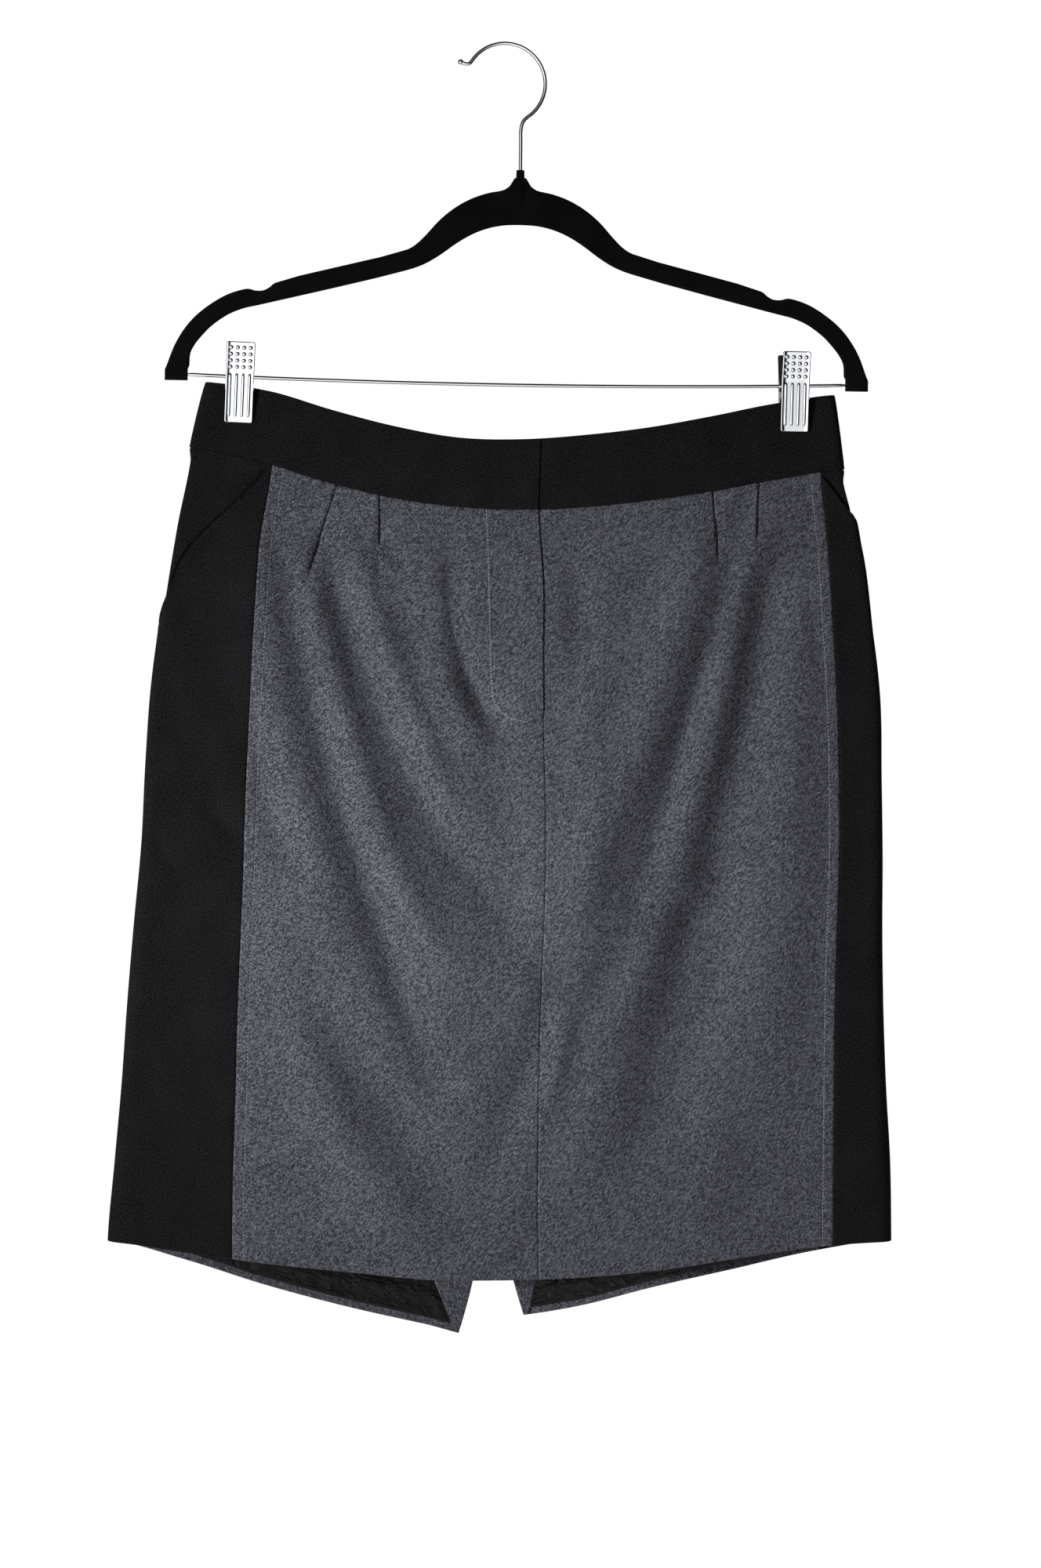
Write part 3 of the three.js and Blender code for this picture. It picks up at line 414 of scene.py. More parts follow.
def shell(points, normals, outer, inner, uvs=None):
    """A closed wall between two offsets from a grid of points."""
    rows, columns = points.shape[:2]
    outer = np.broadcast_to(np.asarray(outer, float), (rows, columns))[..., None]
    inner = np.broadcast_to(np.asarray(inner, float), (rows, columns))[..., None]
    both = np.concatenate([(points + normals * off).reshape(-1, 3) for off in (outer, inner)])
    index = np.arange(rows * columns).reshape(rows, columns)
    a, b, d, c = index[:-1, :-1], index[:-1, 1:], index[1:, :-1], index[1:, 1:]
    front = np.stack([a, d, c, b], axis=-1).reshape(-1, 4)
    under = rows * columns
    rim = np.concatenate([index[:-1, 0], index[-1, :-1], index[:0:-1, -1], index[0, :0:-1]])
    after = np.roll(rim, -1)
    edge = np.stack([rim, rim + under, after + under, after], axis=-1)
    faces = np.concatenate([front, front[:, ::-1] + under, edge])
    return Sewn().add(both, faces.tolist(), None if uvs is None else np.concatenate([uvs.reshape(-1, 2)] * 2))


def flat_cut(points):
    """The size and area of the cloth in a grid of points, in metres."""
    p = points * MM
    width = np.linalg.norm(np.diff(p, axis=1), axis=-1).sum(axis=1).max()
    length = np.linalg.norm(np.diff(p, axis=0), axis=-1).sum(axis=0).max()
    first = np.cross(p[1:, 1:] - p[:-1, :-1], p[1:, :-1] - p[:-1, 1:])
    return float(width), float(length), float(np.linalg.norm(first, axis=-1).sum() / 2)


def declare_sheet(points, slanted=False):
    """The cut of a piece. A slanted one is measured along its lower edge."""
    width, length, area = flat_cut(points)
    if slanted:
        length = float(np.linalg.norm(np.diff(points[-1] * MM, axis=0), axis=-1).sum())
        width = 2 * area / length


def cloth_uv(arcs, downs):
    return np.stack(np.broadcast_arrays(arcs, -downs * SKIRT_LENGTH), axis=-1)


def dip(distance, width=0.55, depth=0.7):
    """The groove beside a seam."""
    return depth * np.exp(-((distance / width) ** 2))


def rounded(distance, half):
    """How full a wall is this far from an edge that is folded over."""
    return np.maximum(0.12, np.sqrt(np.clip(1 - (1 - np.clip(distance / half, 0, 1)) ** 2, 0, 1)))


def dart_arcs(darts, s, downs, arc_of):
    """The line of each dart down a panel, which runs on straight below its tip."""
    lines = []
    for x, slant, length in zip(*darts.values()):
        reach = np.clip(downs * SKIRT_LENGTH / length, 0, 1)
        lines.append(arc_of(s, x + slant * reach))
    return lines


def dart_relief(darts, arcs, lines, downs):
    relief = 0 * arcs
    for line, length in zip(lines, darts["length"]):
        left = length - downs[:, None] * SKIRT_LENGTH
        on = smooth(left / 3)
        beside = arcs - line[:, None]
        proud = 0.6 * np.exp(-((beside / 4) ** 2)) * smooth(-beside / 0.8)
        relief += on * (proud - 1.1 * np.exp(-((beside / 0.75) ** 2)))
    return relief


def stitched_edge(distance):
    """A seam allowance under a topstitched edge: a little proud, with a groove at the stitches."""
    groove = 0.3 * np.exp(-(((distance - EDGE_STITCHES) / 0.7) ** 2))
    return 0.25 * smooth((EDGE_STITCHES + 1.2 - distance) / 1.6) - groove


def fly_lap(downs):
    """1 down the fly and 0 below its end."""
    return smooth((FLY_END - downs * SKIRT_LENGTH) / 10)


def fly_lift(downs, from_centre):
    """How proud the left panel lies where it laps over the right one."""
    return 0.75 * fly_lap(downs) * (1 - smooth(from_centre / FLY_WIDTH))


def find_front(x, z):
    """The lap and height of a place on the front."""
    x, z = np.broadcast_arrays(np.asarray(x, float), np.asarray(z, float))
    down = 0 * x + 0.2
    for _ in range(8):
        s = skirt_section(down)
        place = (x - s["left"]) / (s["right"] - s["left"])
        seam, hem = along(HEIGHTS["seam"], place), along(HEIGHTS["front_hem"], place)
        down = np.clip((z - seam) / (hem - seam), 0, 1)
    return arc_of_front(s, x) / face_length(s), down


def add_nodes(tree, **nodes):
    """Nodes by name, each a kind with its settings and the values of its sockets."""
    made = {}
    for name, (kind, settings, sockets) in nodes.items():
        node = tree.nodes.new(kind)
        node.name = node.label = name.replace("_", " ")
        for key, value in settings.items():
            setattr(node, key, value)
        for key, value in sockets.items():
            node.inputs[key].default_value = value
        made[name] = node
    return made


def blank_material(name, **sockets):
    material = bpy.data.materials.new(name)
    material.use_nodes = True
    shader = material.node_tree.nodes["Principled BSDF"]
    for key, value in sockets.items():
        shader.inputs[key.replace("_", " ")].default_value = value
    return material, material.node_tree, shader


def shade(colour, share):
    return [share * part for part in colour]


def join(tree, nodes, *links):
    """Links, each from a node and its output to another node and its input."""
    for start, output, end, entry in links:
        tree.links.new(nodes[start].outputs[output], nodes[end].inputs[entry])


def weave_coordinates(tree, turn):
    """The cloth's own coordinates in millimetres, turned along the weave."""
    nodes = add_nodes(
        tree,
        cloth_map=("ShaderNodeUVMap", {"uv_map": "cloth"}, {}),
        along_weave=(
            "ShaderNodeMapping", {}, {"Scale": (1000, 1000, 1000), "Rotation": (0, 0, math.radians(turn))},
        ),
    )
    tree.links.new(nodes["cloth_map"].outputs["UV"], nodes["along_weave"].inputs["Vector"])
    return nodes["along_weave"].outputs["Vector"]


def noise_of(tree, vector, name, stretch=(1, 1, 1), scale=1.0, detail=2.0, roughness=0.5, distortion=0.0):
    nodes = add_nodes(
        tree,
        **{
            name + "_place": ("ShaderNodeMapping", {}, {"Scale": stretch}),
            name: (
                "ShaderNodeTexNoise", {},
                {"Scale": scale, "Detail": detail, "Roughness": roughness, "Distortion": distortion},
            ),
        },
    )
    tree.links.new(vector, nodes[name + "_place"].inputs["Vector"])
    tree.links.new(nodes[name + "_place"].outputs["Vector"], nodes[name].inputs["Vector"])
    return nodes[name].outputs["Fac"]


def flecks_of(tree, vector, name, stretch):
    """A tone of its own for every little cell of the cloth."""
    nodes = add_nodes(
        tree,
        **{
            name + "_place": ("ShaderNodeMapping", {}, {"Scale": stretch}),
            name + "_cells": ("ShaderNodeTexVoronoi", {}, {"Scale": 1.0}),
            name: ("ShaderNodeSeparateColor", {}, {}),
        },
    )
    tree.links.new(vector, nodes[name + "_place"].inputs["Vector"])
    tree.links.new(nodes[name + "_place"].outputs["Vector"], nodes[name + "_cells"].inputs["Vector"])
    tree.links.new(nodes[name + "_cells"].outputs["Color"], nodes[name].inputs["Color"])
    return nodes[name].outputs["Red"]


def weighted(tree, base, *terms):
    """base plus every field's difference from its middle, times its weight."""
    total = None
    for field, weight in terms:
        term = tree.nodes.new("ShaderNodeMath")
        term.operation = "MULTIPLY_ADD"
        term.inputs[1].default_value = weight
        tree.links.new(field, term.inputs[0])
        if total is None:
            term.inputs[2].default_value = base - 0.5 * sum(w for _, w in terms)
        else:
            tree.links.new(total, term.inputs[2])
        total = term.outputs["Value"]
    return total


def bump_into(tree, shader, height, distance, strength):
    bump = tree.nodes.new("ShaderNodeBump")
    bump.inputs["Distance"].default_value = distance
    bump.inputs["Strength"].default_value = strength
    tree.links.new(height, bump.inputs["Height"])
    tree.links.new(bump.outputs["Normal"], shader.inputs["Normal"])


def colour_into(tree, shader, field, *stops):
    ramp = tree.nodes.new("ShaderNodeValToRGB")
    elements = ramp.color_ramp.elements
    while len(elements) < len(stops):
        elements.new(0.5)
    for element, (place, colour) in zip(elements, stops):
        element.position = place
        element.color = (*colour, 1)
    tree.links.new(field, ramp.inputs["Fac"])
    tree.links.new(ramp.outputs["Color"], shader.inputs["Base Color"])


def heathered_wool(values):
    """Salt and pepper twill: dark and pale fibres along fine lines that climb to the right."""
    material, tree, shader = blank_material(
        "heathered wool", Roughness=0.92, Sheen_Weight=0.03, Sheen_Roughness=0.5,
        Sheen_Tint=(0.72, 0.75, 0.85, 1), Specular_IOR_Level=0.03,
    )
    weave = weave_coordinates(tree, -48)
    twill = add_nodes(
        tree,
        twill=(
            "ShaderNodeTexWave", {"bands_direction": "Y"},
            {
                "Scale": 0.31416 / (values.twill_pitch / MM), "Distortion": 1.4, "Detail": 2.0,
                "Detail Scale": 1.2,
            },
        ),
    )["twill"]
    tree.links.new(weave, twill.inputs["Vector"])
    fibres = noise_of(tree, weave, "fibres", (0.7, 1.9, 1), 1.0, 3.0, 0.65)
    heather = noise_of(tree, weave, "heather", (0.35, 0.7, 1), 1.0, 2.0, 0.6)
    cloud = noise_of(tree, weave, "cloud", (0.02, 0.03, 1), 1.0, 2.0, 0.5)
    flecks = flecks_of(tree, weave, "flecks", (1.1, 1.7, 1))
    field = weighted(
        tree, 0.46, (flecks, 0.85), (fibres, 1.5), (heather, 0.7), (twill.outputs["Fac"], 0.36), (cloud, 0.2),
    )
    dark, pale = values.wool_dark, values.wool_pale
    middle = [mix(a, b, 0.3) for a, b in zip(dark, pale)]
    colour_into(tree, shader, field, (0.1, dark), (0.5, middle), (0.95, pale))
    height = weighted(tree, 0.5, (twill.outputs["Fac"], 0.6), (fibres, 1.0))
    bump_into(tree, shader, height, 0.00022, 0.7)
    return material


def black_weave(values):
    """A plain black weave with a faint bloom."""
    material, tree, shader = blank_material(
        "black weave", Roughness=0.9, Sheen_Weight=0.02, Sheen_Roughness=0.45,
        Sheen_Tint=(0.8, 0.8, 0.85, 1), Specular_IOR_Level=0.05,
    )
    weave = weave_coordinates(tree, 0)
    threads = noise_of(tree, weave, "threads", (2.2, 0.9, 1), 1.0, 2.0, 0.6)
    crossing = noise_of(tree, weave, "crossing", (0.9, 2.2, 1), 1.0, 2.0, 0.6)
    bloom = noise_of(tree, weave, "bloom", (0.05, 0.03, 1), 1.0, 3.0, 0.55)
    field = weighted(tree, 0.5, (threads, 1.1), (crossing, 1.1), (bloom, 0.16))
    base = values.black_colour
    colour_into(tree, shader, field, (0.32, shade(base, 0.15)), (0.72, shade(base, 2.4)))
    bump_into(tree, shader, field, 0.0003, 0.9)
    return material


def crinkled_satin(values):
    material, tree, shader = blank_material(
        "black satin", Roughness=0.28, Anisotropic=0.4, Specular_IOR_Level=0.22,
    )
    weave = weave_coordinates(tree, 0)
    # One noise gives the crinkles' bumps and paints their shade: the lining's colour is darker in the hollows
    # and lighter on the ridges
    crinkle = noise_of(tree, weave, "crinkle", (0.11, 0.19, 1), 1.0, 3.0, 0.6, 1.6)
    threads = noise_of(tree, weave, "threads", (6, 1.2, 1), 1.0, 1.0, 0.5)
    base = values.satin_colour
    # Painted shade and highlight: darker colour in the crinkles' hollows, lighter colour on their ridges
    colour_into(tree, shader, crinkle, (0.3, shade(base, 0.8)), (0.8, shade(base, 1.3)))
    height = weighted(tree, 0.5, (crinkle, 1.0), (threads, 0.03))
    bump_into(tree, shader, height, 0.0022, 0.8)
    return material


def thread_material(values):
    material, tree, shader = blank_material("grey thread", Roughness=0.6, Specular_IOR_Level=0.35)
    place = tree.nodes.new("ShaderNodeTexCoord").outputs["Object"]
    twist = noise_of(tree, place, "twist", (900, 900, 2500), 1.0, 1.0)
    dark = values.thread_colour
    colour_into(tree, shader, twist, (0.3, dark), (0.8, shade(dark, 1.8)))
    return material


def flock_material(values):
    material, tree, shader = blank_material(
        "black flock", Roughness=1.0, Sheen_Weight=0.06, Sheen_Roughness=0.35,
        Sheen_Tint=(0.55, 0.55, 0.6, 1), Specular_IOR_Level=0.02,
    )
    place = tree.nodes.new("ShaderNodeTexCoord").outputs["Object"]
    fuzz = noise_of(tree, place, "fuzz", (2600, 2600, 2600), 1.0, 2.0, 0.7)
    rubbed = noise_of(tree, place, "rubbed", (45, 45, 45), 1.0, 3.0, 0.6)
    base = values.flock_colour
    field = weighted(tree, 0.5, (fuzz, 0.8), (rubbed, 0.7))
    colour_into(tree, shader, field, (0.15, shade(base, 0.5)), (0.9, shade(base, 2.2)))
    bump_into(tree, shader, fuzz, 0.0003, 0.8)
    return material


def chrome_material(values):
    material, tree, shader = blank_material("chrome", Metallic=1.0)
    place = tree.nodes.new("ShaderNodeTexCoord").outputs["Object"]
    smear = noise_of(tree, place, "smear", (60, 60, 140), 1.0, 3.0, 0.6)
    colour = values.chrome_colour
    colour_into(tree, shader, smear, (0.25, shade(colour, 0.86)), (0.75, colour))
    gloss = tree.nodes.new("ShaderNodeMapRange")
    gloss.inputs["To Min"].default_value = values.chrome_roughness * 0.6
    gloss.inputs["To Max"].default_value = values.chrome_roughness * 1.6
    tree.links.new(smear, gloss.inputs["Value"])
    tree.links.new(gloss.outputs["Result"], shader.inputs["Roughness"])
    grain = noise_of(tree, place, "grain", (350, 350, 350), 1.0, 1.0)
    bump_into(tree, shader, grain, 0.00003, 0.4)
    return material


LOOKS = {
    "wool": ("heathered wool", heathered_wool, "skirt_cloth"),
    "black_cloth": ("black weave", black_weave, "skirt_cloth"),
    "satin": ("black satin", crinkled_satin, "skirt_cloth"),
    "thread": ("grey thread", thread_material, "skirt_cloth"),
    "flock": ("black flock", flock_material, "skirt_hanger"),
    "chrome": ("chrome", chrome_material, "skirt_hanger"),
}


def look(kind):
    """One of the materials, made when it is first asked for."""
    name, make, group = LOOKS[kind]
    return bpy.data.materials.get(name) or make(getattr(bpy.context.scene, group))


def value_sockets(tree, **kinds):
    """Named inputs of a tree, between its geometry and its result."""
    face = tree.interface
    face.new_socket("Geometry", in_out="INPUT", socket_type="NodeSocketGeometry")
    for label, kind in kinds.items():
        face.new_socket(label, in_out="INPUT", socket_type="NodeSocket" + kind)
    face.new_socket("Geometry", in_out="OUTPUT", socket_type="NodeSocketGeometry")


BALL = ("GeometryNodeMeshUVSphere", {}, {"Segments": 6, "Rings": 4, "Radius": 1.0})
FINE_BALL = ("GeometryNodeMeshUVSphere", {}, {"Segments": 14, "Rings": 10, "Radius": 1.0})
BLOCK = ("GeometryNodeMeshCube", {}, {"Size": (2, 2, 2)})


def row_tree(name, shape=BALL, smallest=0.88, largest=1.08):
    """Nodes that set a stitch, a zip tooth or a stud at every step along a line."""
    tree = bpy.data.node_groups.new(name, "GeometryNodeTree")
    value_sockets(tree, Spacing="Float", Length="Float", Width="Float", Height="Float", Material="Material")
    n = add_nodes(
        tree,
        given=("NodeGroupInput", {}, {}),
        line=("GeometryNodeMeshToCurve", {}, {}),
        steps=("GeometryNodeResampleCurve", {"mode": "LENGTH"}, {}),
        one=shape,
        tangent=("GeometryNodeInputTangent", {}, {}),
        turned=("FunctionNodeAlignRotationToVector", {"axis": "Z"}, {}),
        half_size=("ShaderNodeCombineXYZ", {}, {}),
        halved=("ShaderNodeVectorMath", {"operation": "SCALE"}, {"Scale": 0.5}),
        uneven=("FunctionNodeRandomValue", {"data_type": "FLOAT"}, {}),
        sized=("ShaderNodeVectorMath", {"operation": "SCALE"}, {}),
        placed=("GeometryNodeInstanceOnPoints", {}, {}),
        real=("GeometryNodeRealizeInstances", {}, {}),
        soft=("GeometryNodeSetShadeSmooth", {}, {"Shade Smooth": shape is not BLOCK}),
        finish=("GeometryNodeSetMaterial", {}, {}),
        result=("NodeGroupOutput", {}, {}),
    )
    floats = [s for s in n["uneven"].inputs if s.type == "VALUE" and s.name in ("Min", "Max")]
    floats[0].default_value, floats[1].default_value = smallest, largest
    n["uneven"].inputs["Seed"].default_value = 7
    uneven = next(s for s in n["uneven"].outputs if s.type == "VALUE")
    join(
        tree, n,
        ("given", "Geometry", "line", "Mesh"),
        ("line", "Curve", "steps", "Curve"),
        ("given", "Spacing", "steps", "Length"),
        ("steps", "Curve", "placed", "Points"),
        ("one", "Mesh", "placed", "Instance"),
        ("tangent", "Tangent", "turned", "Vector"),
        ("turned", "Rotation", "placed", "Rotation"),
        ("given", "Width", "half_size", "X"),
        ("given", "Height", "half_size", "Y"),
        ("given", "Length", "half_size", "Z"),
        ("half_size", "Vector", "halved", "Vector"),
        ("halved", "Vector", "sized", "Vector"),
        ("sized", "Vector", "placed", "Scale"),
        ("placed", "Instances", "real", "Geometry"),
        ("real", "Geometry", "soft", "Geometry"),
        ("soft", "Geometry", "finish", "Geometry"),
        ("given", "Material", "finish", "Material"),
        ("finish", "Geometry", "result", "Geometry"),
    )
    tree.links.new(uneven, n["sized"].inputs["Scale"])
    return tree


def rod_tree(name, blunt):
    """Nodes that make a round rod along a line. The higher blunt is, the shorter its rounded ends."""
    tree = bpy.data.node_groups.new(name, "GeometryNodeTree")
    value_sockets(tree, Radius="Float", Steps="Int", Sides="Int", Material="Material")
    n = add_nodes(
        tree,
        given=("NodeGroupInput", {}, {}),
        line=("GeometryNodeMeshToCurve", {}, {}),
        steps=("GeometryNodeResampleCurve", {"mode": "COUNT"}, {}),
        place=("GeometryNodeSplineParameter", {}, {}),
        from_middle=("ShaderNodeMath", {"operation": "MULTIPLY_ADD"}, {1: 2.0, 2: -1.0}),
        outwards=("ShaderNodeMath", {"operation": "ABSOLUTE"}, {}),
        towards_end=("ShaderNodeMath", {"operation": "POWER"}, {1: blunt}),
        rest=("ShaderNodeMath", {"operation": "SUBTRACT", "use_clamp": True}, {0: 1.0}),
        full=("ShaderNodeMath", {"operation": "SQRT"}, {}),
        thick=("ShaderNodeMath", {"operation": "MULTIPLY"}, {}),
        ring=("GeometryNodeCurvePrimitiveCircle", {"mode": "RADIUS"}, {"Radius": 1.0}),
        rod=("GeometryNodeCurveToMesh", {}, {"Fill Caps": True}),
        real=("GeometryNodeRealizeInstances", {}, {}),
        soft=("GeometryNodeSetShadeSmooth", {}, {}),
        finish=("GeometryNodeSetMaterial", {}, {}),
        result=("NodeGroupOutput", {}, {}),
    )
    join(
        tree, n,
        ("given", "Geometry", "line", "Mesh"),
        ("line", "Curve", "steps", "Curve"),
        ("given", "Steps", "steps", "Count"),
        ("place", "Factor", "from_middle", 0),
        ("from_middle", "Value", "outwards", 0),
        ("outwards", "Value", "towards_end", 0),
        ("towards_end", "Value", "rest", 1),
        ("rest", "Value", "full", 0),
        ("full", "Value", "thick", 0),
        ("given", "Radius", "thick", 1),
        ("steps", "Curve", "rod", "Curve"),
        ("thick", "Value", "rod", "Scale"),
        ("given", "Sides", "ring", "Resolution"),
        ("ring", "Curve", "rod", "Profile Curve"),
        ("rod", "Mesh", "real", "Geometry"),
        ("real", "Geometry", "soft", "Geometry"),
        ("soft", "Geometry", "finish", "Geometry"),
        ("given", "Material", "finish", "Material"),
        ("finish", "Geometry", "result", "Geometry"),
    )
    return tree


def wire_tree():
    return bpy.data.node_groups.get("wire") or rod_tree("wire", 3000)


def grown_piece(name, lines, tree, values, replaces=()):
    """A piece that a tree of nodes grows along lines of points, in millimetres."""
    points = [point * MM for line in lines for point in line]
    edges, start = [], 0
    for line in lines:
        edges += [(start + k, start + k + 1) for k in range(len(line) - 1)]
        start += len(line)
    mesh = bpy.data.meshes.new(name + " line")
    mesh.from_pydata([tuple(p) for p in points], edges, [])
    piece = bpy.data.objects.new(name, mesh)
    bpy.context.scene.collection.objects.link(piece)
    rows = piece.modifiers.new("rows", "NODES")
    rows.node_group = tree
    for item in tree.interface.items_tree:
        if item.item_type == "SOCKET" and item.in_out == "INPUT" and item.name in values:
            rows[item.identifier] = values[item.name]
    graph = bpy.context.evaluated_depsgraph_get()
    grown = bpy.data.meshes.new_from_object(piece.evaluated_get(graph))
    piece.modifiers.remove(rows)
    piece.data = grown
    return finish_piece(piece, replaces)


def stitch_tree():
    return bpy.data.node_groups.get("row of stitches") or row_tree("row of stitches")


def row_values(spacing, length, width, height, kind):
    return {"Spacing": spacing, "Length": length, "Width": width, "Height": height, "Material": look(kind)}


def rod_values(radius, steps, sides):
    return {"Radius": radius, "Steps": steps, "Sides": sides, "Material": look("chrome")}


def stitch_values(scale=1.0, thick=None):
    cloth = bpy.context.scene.skirt_cloth
    pitch, thick = cloth.stitch_pitch * scale, thick or cloth.stitch_width
    return row_values(pitch, 0.68 * pitch, thick, thick, "thread")


def surface_line(laps, downs, offset, side="left"):
    points, normals = on_surface(np.asarray(laps), np.asarray(downs), lambda l, d: skirt_point(l, d, side))
    return points + normals * offset


def front_panel(side):
    """One grey front panel, with its darts, its stitched edge and its half of the fly."""
    downs = down_rows(3.0)
    s = skirt_section(downs)
    names = {"left": ("left_seam", "centre"), "right": ("centre", "right_seam")}[side]
    first, last = (arc_of_front(s, along(SECTIONS[name], downs)) for name in names)
    darts = {"left": FRONT_LEFT_DARTS, "right": FRONT_RIGHT_DARTS}[side]
    lines = dart_arcs(darts, s, downs, arc_of_front)
    stitches = first + EDGE_STITCHES if side == "left" else last - EDGE_STITCHES
    marks = [first, stitches, *lines, last] if side == "left" else [first, *lines, stitches, last]
    arcs = spread(marks, 3.2)
    heights, points, normals = skirt_grid(arcs, downs)
    from_side, from_centre = from_ends(arcs, side == "right")
    lap = fly_lap(heights)
    lift = fly_lift(heights, from_centre) if side == "left" else -0.45 * lap * np.exp(-from_centre / 5)
    outer = HALF_CLOTH + lift + stitched_edge(from_side) + dart_relief(darts, arcs, lines, downs)
    outer -= dip(from_side) + dip(heights * SKIRT_LENGTH) + (1 - lap) * dip(from_centre, 0.5, 0.75)
    full = rounded((1 - heights) * SKIRT_LENGTH, HALF_CLOTH)
    sewn = shell(points, normals, outer * full, -HALF_CLOTH * full, cloth_uv(arcs, heights))
    piece = sewn.piece(f"front_panel_{side}", "wool", [f"front_{side}"])
    declare_sheet(points)
    return surface_line(stitches / face_length(s), downs, HALF_CLOTH + 0.02)[2:-2]


def back_panel(side):
    """One grey back panel, from its seam behind the side fold to the centre back and its vent."""
    downs = down_rows(3.4)
    s = skirt_section(downs)
    seam, edge = back_seam(side, downs), arc_of_back(s, vent_edge(side, downs))
    darts = {"left": BACK_LEFT_DARTS, "right": BACK_RIGHT_DARTS}[side]
    lines = dart_arcs(darts, s, downs, arc_of_back)
    stitches = seam + TURN[side] * EDGE_STITCHES
    marks = [edge, *lines, stitches, seam] if side == "left" else [seam, stitches, *lines, edge]
    arcs = spread(marks, 3.6)
    heights, points, normals = skirt_grid(arcs, downs, side)
    from_side, from_centre = from_ends(arcs, side == "left")
    opened = smooth((heights * SKIRT_LENGTH - 346) / 8)
    outer = HALF_CLOTH + stitched_edge(from_side) + dart_relief(darts, arcs, lines, downs)
    outer -= dip(from_side) + dip(heights * SKIRT_LENGTH) + (1 - opened) * dip(from_centre, 0.5, 0.75)
    full = rounded((1 - heights) * SKIRT_LENGTH, HALF_CLOTH)
    full *= mix(1, rounded(from_centre, HALF_CLOTH), opened)
    sewn = shell(points, normals, outer * full, -HALF_CLOTH * full, cloth_uv(arcs, heights))
    piece = sewn.piece(f"back_panel_{side}", "wool", [f"back_{side}"])
    declare_sheet(points)
    return surface_line(stitches / face_length(s), downs, HALF_CLOTH + 0.02, side)[2:-2]


def side_columns(side, downs):
    """Arcs of a side panel's two seams at given heights, in the order of its columns."""
    grey = arc_of_front(skirt_section(downs), along(SECTIONS[side + "_seam"], downs))
    if side == "left":
        return -mix(*BEHIND_FOLD["left"], downs), grey
    return grey, back_seam("right", downs)


def pocket_drop(side, share):
    """How far down the pocket's edge lies on each column of a side panel."""
    down = 0 * share + 0.1
    marks = np.linspace(0, 90, 91)
    drops = np.interp(marks, POCKET_EDGE["from_seam"], POCKET_EDGE["drop"])
    drops = np.convolve(np.pad(drops, 4, mode="reflect", reflect_type="odd"), np.ones(9) / 9, "valid")
    for _ in range(8):
        first, last = side_columns(side, down)
        arc = mix(first, last, share)
        from_seam = last - arc if side == "left" else arc - first
        down = np.interp(from_seam, marks, drops) / SKIRT_LENGTH
    return down


def pocket_columns(side, down, step):
    """A side panel's columns, spaced as at one height, and how far down each the pocket's edge lies."""
    first, last = side_columns(side, np.array([down]))
    share = ((spread([first, last], step) - first) / (last - first))[0]
    return share, pocket_drop(side, share)


def side_grid(side, share, downs):
    first, last = side_columns(side, downs)
    arcs = mix(first, last, share)
    laps = arcs / face_length(skirt_section(downs))
    points, normals = on_surface(laps, downs, skirt_point)
    return arcs, points, normals


def side_panel(side):
    """The black cloth round a side fold, below the pocket's scooped edge."""
    share, edge = pocket_columns(side, 0.5, 2.8)
    downs = edge[None, :] + (1 - edge[None, :]) * down_rows(3.2)[:, None]
    arcs, points, normals = side_grid(side, share[None, :], downs)
    from_edge, from_hem = (downs - edge) * SKIRT_LENGTH, (1 - downs) * SKIRT_LENGTH
    from_back, from_grey = from_ends(arcs, side == "right")
    outer = HALF_CLOTH + 0.45 * smooth((16 - from_edge) / 14)
    outer -= 0.25 * np.exp(-(((from_edge - 6.5) / 0.8) ** 2)) + dip(from_grey) + dip(from_back)
    full = rounded(from_hem, HALF_CLOTH) * rounded(from_edge, HALF_CLOTH)
    sewn = shell(points, normals, outer * full, -HALF_CLOTH * full, cloth_uv(arcs, downs))
    piece = sewn.piece(f"side_cloth_{side}", "black_cloth", [f"side_panel_{side}"])
    declare_sheet(points)


def pocket_yoke(side):
    """The black cloth seen inside a pocket, which runs on under the pocket's edge."""
    share, edge = pocket_columns(side, 0.05, 2.6)
    edge = edge + POCKET_UNDERLAP / SKIRT_LENGTH
    downs = edge[None, :] * down_rows(1.6, 100)[:, None]
    arcs, points, normals = side_grid(side, share[None, :], downs)
    above = (edge[None, :] - downs) * SKIRT_LENGTH - POCKET_UNDERLAP
    sink = (1.75 + 1.5 * np.exp(-(((above - 1.5) / 2) ** 2))) * smooth(downs * SKIRT_LENGTH / 9)
    outer = HALF_CLOTH - sink - dip(downs * SKIRT_LENGTH)
    sewn = shell(points, normals, outer, -HALF_CLOTH - sink, cloth_uv(arcs, downs))
    piece = sewn.piece(f"pocket_cloth_{side}", "black_cloth", [f"pocket_yoke_{side}"])
    declare_sheet(points, slanted=True)


